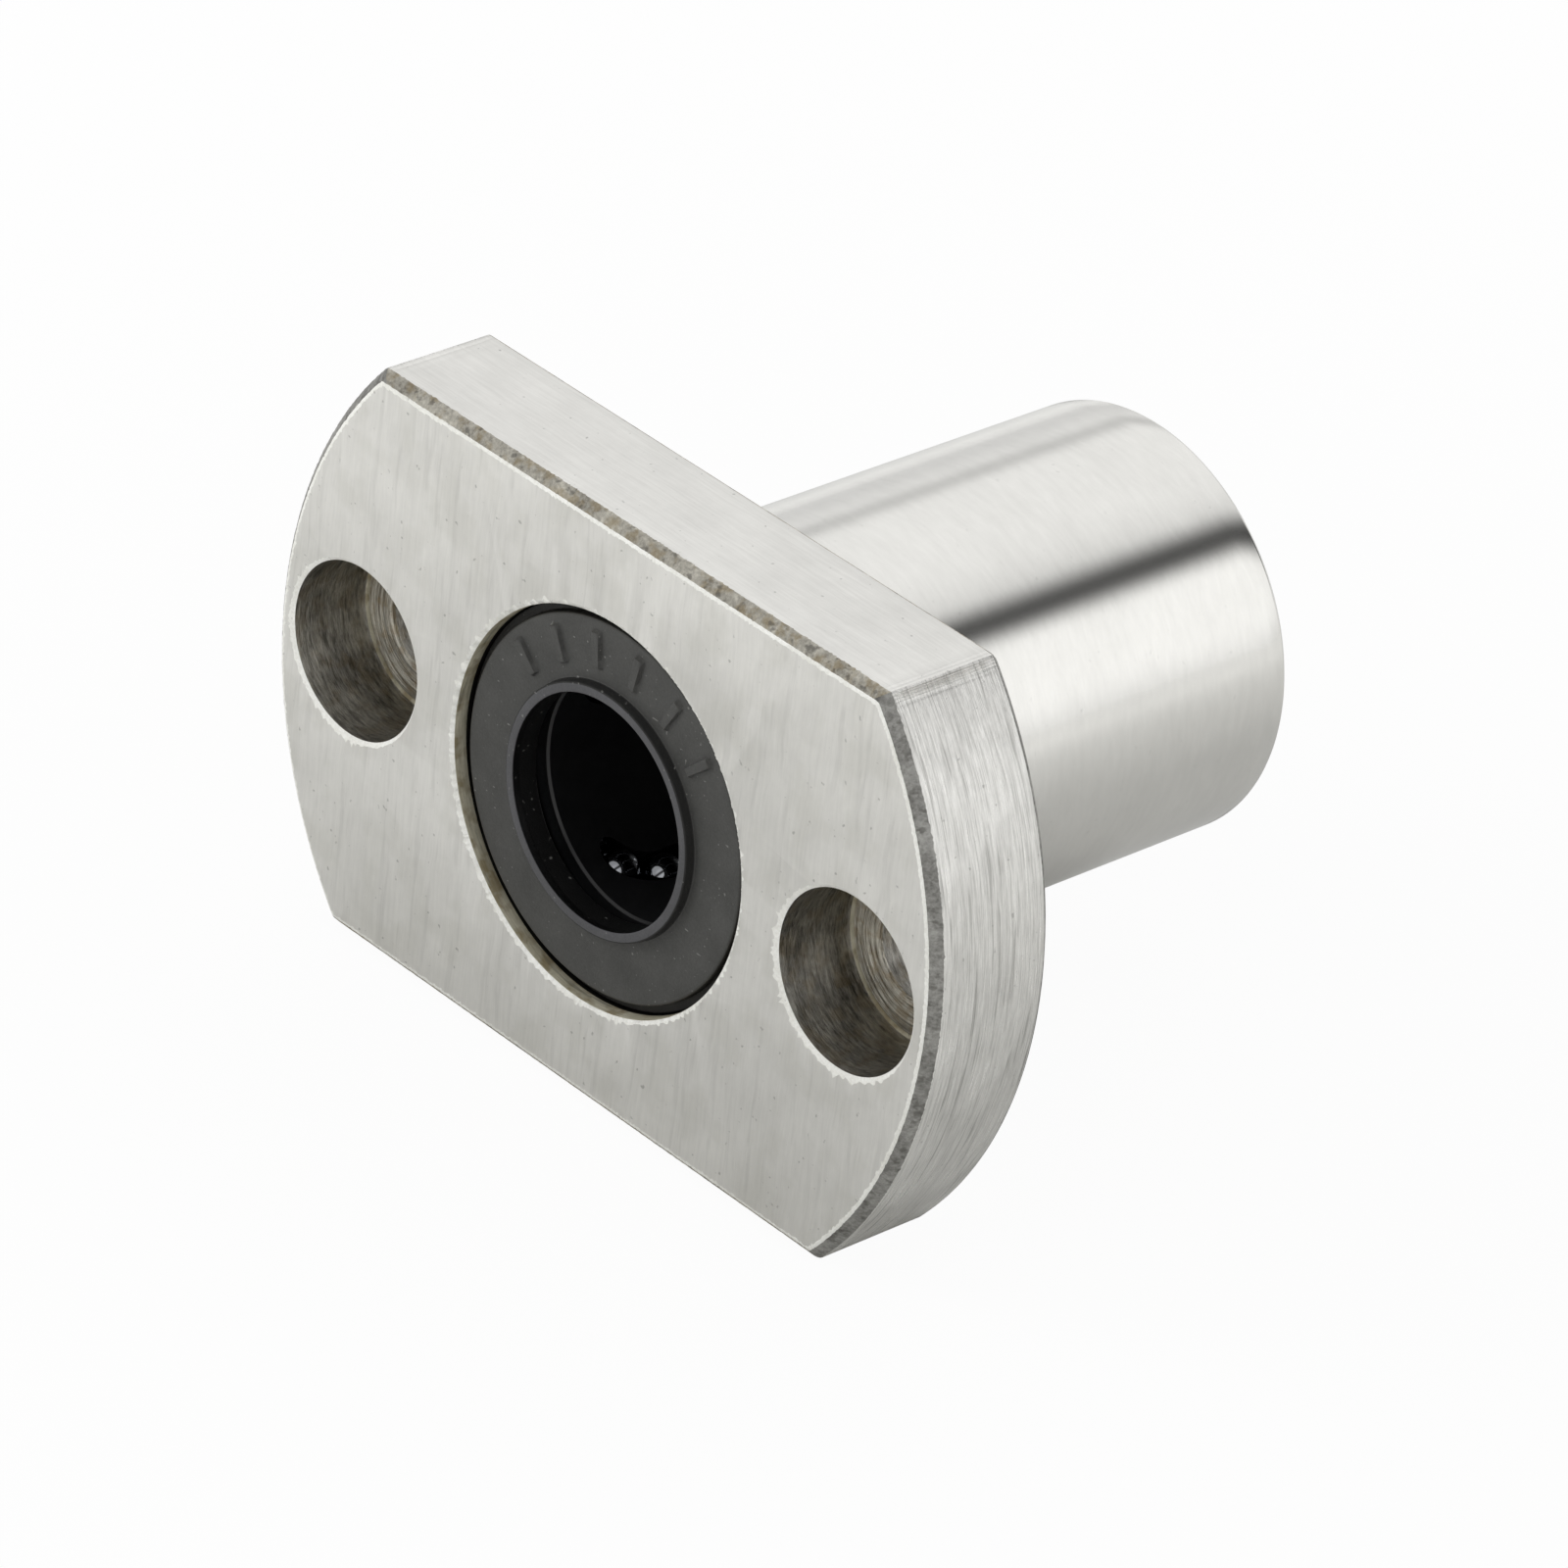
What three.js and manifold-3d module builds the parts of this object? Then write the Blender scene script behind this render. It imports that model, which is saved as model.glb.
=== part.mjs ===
// Flanged linear ball bushing with two side cuts, for a round shaft.
// Millimetres. The shaft runs along Y and the middle of the length is at y = 0.
// The front face, with the screw head pockets, looks toward -Y.
// The two screw holes lie along X. The two flats of the flange face +Z and -Z.
import * as THREE from 'three';
import { mergeVertices } from 'three/addons/utils/BufferGeometryUtils.js';
import Module from 'manifold-3d';

const wasm = await Module();
wasm.setup();

// Main sizes
const shaftDiameter = 8;
const flangeDiameter = 32;
const acrossFlats = 21;
const flangeThickness = 5;

// Ball circuits
const circuitNames = ['a', 'b', 'c', 'd'];
const firstLoadAngle = THREE.MathUtils.degToRad(-106);
const ballDiameter = 1.5;
const ballsPerRow = 9;
const ballsPerTurn = 3;
const ballGap = 0.04;
const ballRunningGap = 0.03;
const channelClearance = 0.08;
const cageFit = 0.08;
const cageEndWall = 0.603;
const cageCover = 0.16;
const cageShaftGap = 0.25;
const neckRadius = 0.25;

// Walls of the sleeve, over the broached slots and round the seal pockets
const slotWall = 0.849;
const pocketWall = 0.55;

// Edges
const frontEdgeChamfer = 0.35;
const rearEdgeChamfer = 0.3;
const sleeveEndChamfer = 0.25;
const mouthChamfer = 0.1;

// Screw holes in the web of the flange, between the sleeve and the round edge
const holeInnerMargin = 1.4;
const holeOuterMargin = 0.9;
const headSeatWidth = 1.35;
const headPocketDepth = 3.1;
const headPocketChamfer = 0.08;
const headPocketCorner = 0.15;

// End closures: seal in its pocket, then retaining ring in its groove, then the cage
const sealRecess = 0.4;
const sealThickness = 0.72;
const sealRimThickness = 0.37;
const sealRimGap = 0.35;
const sealRimChamfer = 0.07;
const sealFit = 0.03;
const hubHeight = 0.35;
const hubWall = 0.38;
const hubSlope = 0.04;
const lipClearance = 0.02;
const lipHollow = 0.1;
const lipBackFlare = 0.08;
const ringThickness = 0.5;
const ringGrooveDepth = 0.17;
const ringGrooveGap = 0.07;
const ringSideGap = 0.05;
const ringShaftGap = 1;
const ringGapAngle = THREE.MathUtils.degToRad(18);

// Plain raised bars on the seals
const markCount = 6;
const markHeight = 0.1;
const markWidth = 0.34;
const markHubMargin = 0.55;
const markRimMargin = 0.4;
const markFirstAngle = THREE.MathUtils.degToRad(42);
const markStepAngle = THREE.MathUtils.degToRad(19.5);

// Facets round a full turn
const wideFacets = 72;
const roundFacets = 60;
const holeFacets = 32;
const sealFacets = 48;
const channelFacets = 12;
const turnFacets = 20;
const neckFacets = 3;

// Path of the ball centres. The chord between neighbours in a turn clears one ball.
const shaftRadius = shaftDiameter / 2;
const ballRadius = ballDiameter / 2;
const turnStepAngle = Math.PI / ballsPerTurn;
const turnRadius = (ballDiameter + ballGap) / (2 * Math.sin(turnStepAngle / 2));
const ballPitch = turnRadius * turnStepAngle;
const loadRadius = shaftRadius + ballRadius;
const returnOffset = 2 * turnRadius;
const channelRadius = ballRadius + channelClearance;

// Radii of the sleeve and the cage, from the shaft outward
const raceHeight = shaftRadius + ballDiameter + ballRunningGap;
const cageInnerRadius = shaftRadius + cageShaftGap;
const cageOuterRadius = raceHeight - cageFit;
const returnReach = Math.hypot(loadRadius, returnOffset) + ballRadius;
const lobeRadius = returnReach + cageCover;
const slotRadius = lobeRadius + cageFit;
const sleeveRadius = slotRadius + slotWall;
const pocketRadius = sleeveRadius - pocketWall;
const ringGrooveRadius = pocketRadius + ringGrooveDepth;
const ringOuterRadius = ringGrooveRadius - ringGrooveGap;
const ringInnerRadius = shaftRadius + ringShaftGap;

// Lengths along the shaft. The rows of balls set the cage, and the cage sets the sleeve.
const straightLength = ballPitch * ballsPerRow;
const cageLength = straightLength + 2 * (turnRadius + channelRadius + cageEndWall);
const grooveStart = sealRecess + sealThickness + ringSideGap / 2;
const ringStart = grooveStart + ringSideGap / 2;
const grooveEnd = ringStart + ringThickness + ringSideGap;
const sleeveLength = cageLength + 2 * (grooveEnd + ringSideGap);
const frontFace = -sleeveLength / 2;
const rearFace = sleeveLength / 2;
const flangeRear = frontFace + flangeThickness;

// Screw holes fill the web between its two margins
const flangeRadius = flangeDiameter / 2;
const headPocketRadius = (flangeRadius - sleeveRadius - holeInnerMargin - holeOuterMargin) / 2;
const screwHoleRadius = headPocketRadius - headSeatWidth;
const holeOffset = flangeRadius - holeOuterMargin - headPocketRadius;

// Past a face, so that a cut leaves no skin behind
const overrun = 1;

function material(colour, roughness, metalness) {
  return new THREE.MeshStandardMaterial({ color: colour, roughness, metalness });
}

// Closed triangle body of a three.js shape
function solid(geometry) {
  const plain = geometry.clone();
  plain.deleteAttribute('normal');
  plain.deleteAttribute('uv');
  const welded = mergeVertices(plain, 1e-5);
  return new wasm.Manifold(new wasm.Mesh({
    numProp: 3,
    vertProperties: new Float32Array(welded.attributes.position.array),
    triVerts: new Uint32Array(welded.index.array),
  }));
}

// three.js shape of a closed body
function surface(body) {
  const data = body.getMesh();
  const geometry = new THREE.BufferGeometry();
  geometry.setAttribute('position', new THREE.BufferAttribute(data.vertProperties, 3));
  geometry.setIndex(new THREE.BufferAttribute(data.triVerts, 1));
  geometry.computeVertexNormals();
  return geometry;
}

function named(name, geometry, finish) {
  const mesh = new THREE.Mesh(geometry, finish);
  mesh.name = name;
  return mesh;
}

function points(pairs) {
  return pairs.map(([x, y]) => new THREE.Vector2(x, y));
}

// Outline turned about the shaft axis. Pairs are radius and position along Y.
function turned(pairs, facets) {
  return new THREE.LatheGeometry(points(pairs), facets);
}

// Outline in the plane of Z and Y, drawn out along X and centred on x = 0
function drawnAlongX(pairs, length) {
  const shape = new THREE.Shape(points(pairs));
  const geometry = new THREE.ExtrudeGeometry(shape, { depth: length, bevelEnabled: false });
  return geometry.translate(0, 0, -length / 2).rotateY(Math.PI / 2);
}

function loadAngle(index) {
  return firstLoadAngle + index * 2 * Math.PI / circuitNames.length;
}

// Turns a shape from the frame of one circuit into place.
// In that frame the load row lies on +X and the return row is offset toward -Z.
function toCircuit(geometry, index) {
  return geometry.rotateY(-loadAngle(index));
}

// Round disc with broken edges, cut to two flats with broken edges
function flangeBody() {
  const disc = turned([
    [0, frontFace],
    [flangeRadius - frontEdgeChamfer, frontFace],
    [flangeRadius, frontFace + frontEdgeChamfer],
    [flangeRadius, flangeRear - rearEdgeChamfer],
    [flangeRadius - rearEdgeChamfer, flangeRear],
    [0, flangeRear],
  ], wideFacets);
  const half = acrossFlats / 2;
  const slab = drawnAlongX([
    [frontEdgeChamfer - half, frontFace],
    [half - frontEdgeChamfer, frontFace],
    [half, frontFace + frontEdgeChamfer],
    [half, flangeRear - rearEdgeChamfer],
    [half - rearEdgeChamfer, flangeRear],
    [rearEdgeChamfer - half, flangeRear],
    [-half, flangeRear - rearEdgeChamfer],
    [-half, frontFace + frontEdgeChamfer],
  ], flangeDiameter + 2 * overrun);
  return solid(disc).intersect(solid(slab));
}

function barrelBody() {
  return solid(turned([
    [0, frontFace + flangeThickness / 2],
    [sleeveRadius, frontFace + flangeThickness / 2],
    [sleeveRadius, rearFace - sleeveEndChamfer],
    [sleeveRadius - sleeveEndChamfer, rearFace],
    [0, rearFace],
  ], roundFacets));
}

// Ball race, seal pockets and ring grooves, turned from both ends
function boreCut() {
  const flare = mouthChamfer + overrun;
  return solid(turned([
    [0, frontFace - overrun],
    [pocketRadius + flare, frontFace - overrun],
    [pocketRadius, frontFace + mouthChamfer],
    [pocketRadius, frontFace + grooveStart],
    [ringGrooveRadius, frontFace + grooveStart],
    [ringGrooveRadius, frontFace + grooveEnd],
    [raceHeight, frontFace + grooveEnd],
    [raceHeight, rearFace - grooveEnd],
    [ringGrooveRadius, rearFace - grooveEnd],
    [ringGrooveRadius, rearFace - grooveStart],
    [pocketRadius, rearFace - grooveStart],
    [pocketRadius, rearFace - mouthChamfer],
    [pocketRadius + flare, rearFace + overrun],
    [0, rearFace + overrun],
  ], roundFacets));
}

// Flat-floored broached slot that backs one ball circuit
function slotCut(index) {
  const depth = sleeveLength - 2 * grooveEnd + ringThickness / 2;
  const width = slotRadius + ballRadius;
  const block = new THREE.BoxGeometry(raceHeight / 2, depth, width);
  block.translate(raceHeight * 3 / 4, 0, ballRadius - width / 2);
  const limit = new THREE.CylinderGeometry(slotRadius, slotRadius, depth, roundFacets);
  return solid(toCircuit(block, index)).intersect(solid(limit));
}

// Screw hole with its flat-bottomed head pocket
function screwHoleCut(side) {
  const flare = headPocketChamfer + overrun;
  const outline = turned([
    [0, frontFace - overrun],
    [headPocketRadius + flare, frontFace - overrun],
    [headPocketRadius, frontFace + headPocketChamfer],
    [headPocketRadius, frontFace + headPocketDepth - headPocketCorner],
    [headPocketRadius - headPocketCorner, frontFace + headPocketDepth],
    [screwHoleRadius, frontFace + headPocketDepth],
    [screwHoleRadius, flangeRear + overrun],
    [0, flangeRear + overrun],
  ], holeFacets);
  return solid(outline.translate(side * holeOffset, 0, 0));
}

function sleeveWithFlange() {
  let body = flangeBody().add(barrelBody()).subtract(boreCut());
  circuitNames.forEach((name, index) => {
    body = body.subtract(slotCut(index));
  });
  body = body.subtract(screwHoleCut(-1)).subtract(screwHoleCut(1));
  return named('sleeve_with_flange', surface(body), material('#bdbbb4', 0.36, 1));
}

// Outline of the ball path widened to each side by half the width of the channel
function trackOutline(halfWidth) {
  const outline = [];
  const steps = turnFacets / 2;
  const reach = turnRadius + halfWidth;
  [-1, 1].forEach((side) => {
    for (let step = 0; step <= steps; step += 1) {
      const angle = Math.PI * step / steps;
      const across = turnRadius + side * reach * Math.cos(angle);
      const along = side * (straightLength / 2 + reach * Math.sin(angle));
      outline.push(new THREE.Vector2(across, along));
    }
  });
  return outline;
}

// Upper part of the channel, open toward the sleeve
function openTrack(index) {
  const shape = new THREE.Shape(trackOutline(channelRadius));
  shape.holes.push(new THREE.Path(trackOutline(-channelRadius)));
  const depth = slotRadius - loadRadius + overrun;
  const geometry = new THREE.ExtrudeGeometry(shape, { depth, bevelEnabled: false });
  geometry.rotateY(Math.PI / 2).translate(loadRadius, 0, 0);
  return solid(toCircuit(geometry, index));
}

// Rounded floor of one straight of the channel
function straightTrack(index, offset) {
  const size = channelRadius;
  const geometry = new THREE.CylinderGeometry(size, size, straightLength, channelFacets);
  geometry.translate(loadRadius, 0, -offset);
  return solid(toCircuit(geometry, index));
}

// Rounded floor of one half-circle turn of the channel
function turnTrack(index, side) {
  const ring = new THREE.TorusGeometry(turnRadius, channelRadius, channelFacets, turnFacets);
  ring.rotateY(Math.PI / 2).translate(loadRadius, side * straightLength / 2, -turnRadius);
  const reach = turnRadius + channelRadius + overrun;
  const block = new THREE.BoxGeometry(2 * reach, reach, 2 * reach);
  block.translate(loadRadius, side * (straightLength + reach) / 2, -turnRadius);
  return solid(toCircuit(ring, index)).intersect(solid(toCircuit(block, index)));
}

// Thick rib of the cage that fills the broached slot and carries the return row
function cageLobe(index) {
  const height = cageOuterRadius - cageInnerRadius;
  const start = ballRadius + cageFit;
  const width = lobeRadius - start;
  const block = new THREE.BoxGeometry(height, cageLength, width);
  block.translate(cageOuterRadius - height / 2, 0, -start - width / 2);
  const limit = new THREE.CylinderGeometry(lobeRadius, lobeRadius, cageLength, roundFacets);
  const bore = new THREE.CylinderGeometry(
    cageInnerRadius + cageFit, cageInnerRadius + cageFit, cageLength + overrun, roundFacets);
  const rib = solid(toCircuit(block, index)).intersect(solid(limit));
  return rib.subtract(solid(bore));
}

function ballCage() {
  let body = solid(turned([
    [cageInnerRadius, -cageLength / 2],
    [cageOuterRadius, -cageLength / 2],
    [cageOuterRadius, cageLength / 2],
    [cageInnerRadius, cageLength / 2],
    [cageInnerRadius, -cageLength / 2],
  ], roundFacets));
  circuitNames.forEach((name, index) => {
    body = body.add(cageLobe(index));
  });
  circuitNames.forEach((name, index) => {
    body = body.subtract(openTrack(index));
    body = body.subtract(straightTrack(index, 0));
    body = body.subtract(straightTrack(index, returnOffset));
    body = body.subtract(turnTrack(index, -1));
    body = body.subtract(turnTrack(index, 1));
  });
  return named('ball_cage', surface(body), material('#151517', 0.42, 0));
}

// Moulded seal with a raised hub round its lip. It is drawn for the front end.
function sealBody() {
  const rimRadius = pocketRadius - sealFit;
  const faceRadius = pocketRadius - sealRimGap;
  const face = frontFace + sealRecess;
  const back = face + sealThickness;
  const hubRadius = shaftRadius + hubWall;
  const lipRadius = shaftRadius + lipClearance;
  return solid(turned([
    [lipRadius, face - hubHeight],
    [hubRadius, face - hubHeight],
    [hubRadius + hubSlope, face],
    [faceRadius - sealRimChamfer, face],
    [faceRadius, face + sealRimChamfer],
    [faceRadius, back - sealRimThickness],
    [rimRadius, back - sealRimThickness],
    [rimRadius, back],
    [lipRadius + lipBackFlare, back],
    [lipRadius, back - lipBackFlare],
    [lipRadius + lipHollow, face],
    [lipRadius, face - hubHeight],
  ], sealFacets));
}

// One plain raised bar on the face of the seal
function sealMark(angle) {
  const inner = shaftRadius + hubWall + markHubMargin;
  const outer = pocketRadius - sealRimGap - markRimMargin;
  const bar = new THREE.BoxGeometry(outer - inner, 2 * markHeight, markWidth);
  bar.translate((inner + outer) / 2, frontFace + sealRecess, 0);
  return solid(bar.rotateY(-angle));
}

function seal(name, turn) {
  let body = sealBody();
  for (let count = 0; count < markCount; count += 1) {
    body = body.add(sealMark(markFirstAngle + count * markStepAngle));
  }
  const mesh = named(name, surface(body), material('#4b4b49', 0.62, 0));
  mesh.rotation.z = turn;
  return mesh;
}

// Open spring ring that snaps into its groove and stops the cage
function retainingRing(name, side) {
  const start = ringGapAngle / 2;
  const end = 2 * Math.PI - start;
  const shape = new THREE.Shape();
  shape.absarc(0, 0, ringOuterRadius, start, end, false);
  shape.absarc(0, 0, ringInnerRadius, end, start, true);
  const settings = { depth: ringThickness, bevelEnabled: false, curveSegments: sealFacets / 2 };
  const geometry = new THREE.ExtrudeGeometry(shape, settings);
  geometry.rotateX(Math.PI / 2).translate(0, ringThickness / 2, 0);
  const mesh = named(name, geometry, material('#8c8f93', 0.4, 1));
  mesh.position.y = side * (rearFace - ringStart - ringThickness / 2);
  return mesh;
}

function steelBall() {
  return new THREE.IcosahedronGeometry(ballRadius, 1);
}

function ballFinish() {
  return material('#d6d8da', 0.12, 1);
}

// Slim neck between two ball centres of one circuit, both given in its frame
function neck(from, to) {
  const direction = to.clone().sub(from);
  const bar = new THREE.CylinderGeometry(neckRadius, neckRadius, direction.length(), neckFacets);
  const upright = new THREE.Vector3(0, 1, 0);
  const turn = new THREE.Quaternion().setFromUnitVectors(upright, direction.normalize());
  const middle = from.clone().add(to).multiplyScalar(0.5);
  return solid(bar.applyQuaternion(turn).translate(middle.x, middle.y, middle.z));
}

// Balls at the given centres with slim necks between neighbours
function joinedBalls(name, centres) {
  let body = null;
  centres.forEach((centre, index) => {
    const ball = solid(steelBall().translate(centre.x, centre.y, centre.z));
    body = body ? body.add(ball).add(neck(centres[index - 1], centre)) : ball;
  });
  return named(name, surface(body), ballFinish());
}

// Where the balls of a straight stand at rest, along the shaft. The load row (way 1)
// starts at the mouth of the front turn, and the return row (way -1) moves opposite.
function rowPosition(index, way) {
  return (index - (ballsPerRow - 1) / 2 - way / 2) * ballPitch;
}

function returnRow(name) {
  const centres = [];
  for (let index = 0; index < ballsPerRow; index += 1) {
    centres.push(new THREE.Vector3(loadRadius, rowPosition(index, -1), -returnOffset));
  }
  return joinedBalls(name, centres);
}

function turnBalls(name, side) {
  const centres = [];
  for (let index = 0; index < ballsPerTurn; index += 1) {
    const angle = (index + 0.5 - side / 2) * turnStepAngle;
    const along = side * (straightLength / 2 + turnRadius * Math.sin(angle));
    const across = turnRadius * (1 - Math.cos(angle));
    centres.push(new THREE.Vector3(loadRadius, along, -across));
  }
  return joinedBalls(name, centres);
}

function ballCircuit(letter, index) {
  const group = new THREE.Group();
  for (let count = 0; count < ballsPerRow; count += 1) {
    const name = `circuit_${letter}_load_ball_${count + 1}`;
    const ball = named(name, steelBall(), ballFinish());
    ball.position.set(loadRadius, rowPosition(count, 1), 0);
    group.add(ball);
  }
  group.add(turnBalls(`circuit_${letter}_front_turn_balls`, -1));
  group.add(turnBalls(`circuit_${letter}_rear_turn_balls`, 1));
  group.add(returnRow(`circuit_${letter}_return_row`));
  group.rotation.y = -loadAngle(index);
  return group;
}

const bushing = new THREE.Group();
bushing.name = 'linear_ball_bushing';
bushing.add(sleeveWithFlange());
bushing.add(ballCage());
bushing.add(seal('front_seal', 0));
bushing.add(seal('rear_seal', Math.PI));
bushing.add(retainingRing('front_retaining_ring', -1));
bushing.add(retainingRing('rear_retaining_ring', 1));
circuitNames.forEach((letter, index) => {
  bushing.add(ballCircuit(letter, index));
});

export default bushing;
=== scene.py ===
# %% [markdown]
# # Linear ball bushing with a two-side-cut flange
#
# The real part is one block of bearing steel, turned, cut to two flats and ground, with a moulded cage,
# four circuits of balls, two rubber seals and two spring rings inside it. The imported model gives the
# places of all of these, as faceted solids. This lesson makes the fine surfaces around that frame.
# Every piece is worked out in millimetres as whole numpy arrays and is turned to metres once, at the end.

# %% Load the frame
import math

import bmesh
import bpy
import numpy as np
from mathutils import Matrix, Vector
from mathutils.geometry import delaunay_2d_cdt


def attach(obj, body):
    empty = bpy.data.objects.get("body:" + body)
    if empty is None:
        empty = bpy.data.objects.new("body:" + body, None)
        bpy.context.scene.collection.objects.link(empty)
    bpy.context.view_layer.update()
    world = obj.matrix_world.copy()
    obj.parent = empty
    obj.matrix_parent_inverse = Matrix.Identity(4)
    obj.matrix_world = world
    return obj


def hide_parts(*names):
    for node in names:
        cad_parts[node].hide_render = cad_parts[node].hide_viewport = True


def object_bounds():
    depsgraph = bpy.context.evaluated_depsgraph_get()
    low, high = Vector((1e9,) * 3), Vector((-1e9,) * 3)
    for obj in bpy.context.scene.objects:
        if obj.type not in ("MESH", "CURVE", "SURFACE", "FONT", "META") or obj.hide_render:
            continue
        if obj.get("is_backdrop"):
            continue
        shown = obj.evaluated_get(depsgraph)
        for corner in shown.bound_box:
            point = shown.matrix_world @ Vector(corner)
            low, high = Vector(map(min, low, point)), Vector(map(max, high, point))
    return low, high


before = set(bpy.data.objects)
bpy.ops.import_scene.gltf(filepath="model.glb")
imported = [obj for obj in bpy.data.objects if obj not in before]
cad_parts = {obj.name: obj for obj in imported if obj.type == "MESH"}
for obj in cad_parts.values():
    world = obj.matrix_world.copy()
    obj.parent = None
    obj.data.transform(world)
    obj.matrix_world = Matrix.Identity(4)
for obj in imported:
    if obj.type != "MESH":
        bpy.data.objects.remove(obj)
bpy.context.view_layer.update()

print("nodes:", len(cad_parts))

# %% [markdown]
# ## Sizes
#
# The frame already knows the outer sizes, so they are measured on its solids and not typed in again.
# What the boxes can't tell, such as the width of an edge break, is a named value in millimetres here.

# %% Measure the frame
MM = 0.001


def corners(node):
    """All the corner points of a CAD node, in millimetres, as one row per point."""
    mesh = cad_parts[node].data
    flat = np.empty(len(mesh.vertices) * 3)
    mesh.vertices.foreach_get("co", flat)
    return flat.reshape(-1, 3) / MM


steel_points = corners("sleeve_with_flange")
off_axis = np.hypot(steel_points[:, 0], steel_points[:, 2])
flange_radius = steel_points[:, 0].max()
flat_height = steel_points[:, 2].max()
front_face, rear_face = steel_points[:, 1].min(), steel_points[:, 1].max()
barrel_radius = off_axis[steel_points[:, 1] > 0].max()
flange_back = steel_points[off_axis > barrel_radius + 1, 1].max()
ball_radius = np.ptp(corners("circuit_a_load_ball_5")[:, 1]) / 2

print("flange", flange_radius, flat_height, front_face, flange_back)
print("barrel", barrel_radius, rear_face, "ball", ball_radius)

# %% Named sizes of what the boxes don't tell
front_chamfer = 0.35
back_chamfer = 0.3
end_chamfer = 0.25
mouth_chamfer = 0.1
root_fillet = 0.2
pocket_wall = 0.55
pocket_radius = barrel_radius - pocket_wall
groove_depth = 0.17
groove_radius = pocket_radius + groove_depth
groove_start = 1.145
groove_end = 1.72
hole_inner_margin = 1.4
hole_outer_margin = 0.9
head_pocket_radius = (flange_radius - barrel_radius - hole_inner_margin - hole_outer_margin) / 2
head_pocket_depth = 3.1
head_pocket_chamfer = 0.08
head_pocket_corner = 0.15
head_seat_width = 1.35
screw_hole_radius = head_pocket_radius - head_seat_width
hole_offset = flange_radius - hole_outer_margin - head_pocket_radius
print("seal pocket", pocket_radius, "head pocket", head_pocket_radius, "screw hole", screw_hole_radius)

# %% [markdown]
# ## A skin of loops
#
# A machined part is a chain of rings: each turned or milled edge is one closed loop of points, and the
# metal between two edges is a band of faces between two loops. So one small class keeps the points, joins
# neighbouring loops with four-sided faces, and fills a flat face that has holes in it with triangles.
# Neighbouring bands share their loop, so the finished skin has no seam.
# Bevel and Boolean modifiers on cylinders could do this too, but the loops allow each edge to wander a
# little, as a real worked edge does.

# %% The skin
class Skin:
    """Points and faces of one closed surface. Faces carry a zone, which becomes their material."""

    def __init__(self):
        self.points = np.empty((0, 3))
        self.faces = []

    def loop(self, points):
        """Adds a closed loop of points, rounded as the mesh stores them, and returns their numbers."""
        first = len(self.points)
        self.points = np.vstack([self.points, np.asarray(points, np.float32)])
        return np.arange(first, first + len(points))

    def band(self, one, two, zone, smooth=True):
        """Four-sided faces between two loops with the same count. Zone is a number or one per face."""
        quads = np.stack([one, np.roll(one, -1), np.roll(two, -1), two], 1)
        self.faces.append((quads, np.broadcast_to(zone, len(quads)), smooth))

    def loft(self, rows, zones, smooth=True):
        """Adds each row of points as a loop, joins neighbours, and returns the first and last loop."""
        loops = [self.loop(row) for row in rows]
        for number, (one, two) in enumerate(zip(loops, loops[1:])):
            zone = zones[number] if isinstance(zones, list) else zones
            self.band(one, two, zone, smooth)
        return loops[0], loops[-1]

    def flat(self, outer, holes, zone):
        """Fills the level face between an outer loop and its holes with triangles."""
        numbers = np.concatenate([outer, *holes])
        places = [Vector(p) for p in self.points[numbers][:, [0, 2]].tolist()]
        sizes = [len(outer)] + [len(hole) for hole in holes]
        starts = np.cumsum([0] + sizes)
        edges = [(int(a), int(b)) for start, size in zip(starts, sizes)
                 for a, b in zip(range(start, start + size), [*range(start + 1, start + size), start])]
        rings = [list(range(start, start + size)) for start, size in zip(starts, sizes)]
        done = delaunay_2d_cdt(places, edges, rings, 0, 1e-9)
        assert len(done[0]) == len(places), "the flat face met points that coincide"
        triangles = numbers[np.array(done[2])]
        middle = self.points[triangles].mean(1)[:, [0, 2]]
        keep = self.reach(outer, middle) < 1
        for hole in holes:
            keep &= self.reach(hole, middle) > 1
        triangles = triangles[keep]
        self.faces.append((triangles, np.full(len(triangles), zone), False))

    def reach(self, loop, places):
        """Distance of places from a loop's middle, as a share of the loop's straight edges there.

        The edge between two corners (r1, a) and (r2, b) lies, in the direction t, at the radius
        r1 r2 sin(b - a) / (r1 sin(t - a) + r2 sin(b - t)).
        """
        outline = self.points[loop][:, [0, 2]]
        centre = (outline.min(0) + outline.max(0)) / 2
        spokes = outline - centre
        angles = np.arctan2(spokes[:, 1], spokes[:, 0])
        order = np.argsort(angles)
        angles, lengths = angles[order], np.linalg.norm(spokes, axis=1)[order]
        away = places - centre
        toward = np.arctan2(away[:, 1], away[:, 0])
        after = np.searchsorted(angles, toward) % len(angles)
        before = after - 1
        whole = (angles[after] - angles[before]) % (2 * math.pi)
        past = (toward - angles[before]) % (2 * math.pi)
        edge = lengths[before] * lengths[after] * np.sin(whole)
        edge = edge / (lengths[before] * np.sin(past) + lengths[after] * np.sin(whole - past))
        return np.linalg.norm(away, axis=1) / edge

    def fan(self, loop, zone, tip=None, smooth=False):
        """Closes a loop with triangles that meet at a tip, or in the loop's middle."""
        tip = self.points[loop].mean(0) if tip is None else tip
        middle = self.loop(tip[None])
        triangles = np.stack([loop, np.roll(loop, -1), np.broadcast_to(middle, len(loop))], 1)
        self.faces.append((triangles, np.full(len(triangles), zone), smooth))


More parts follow.
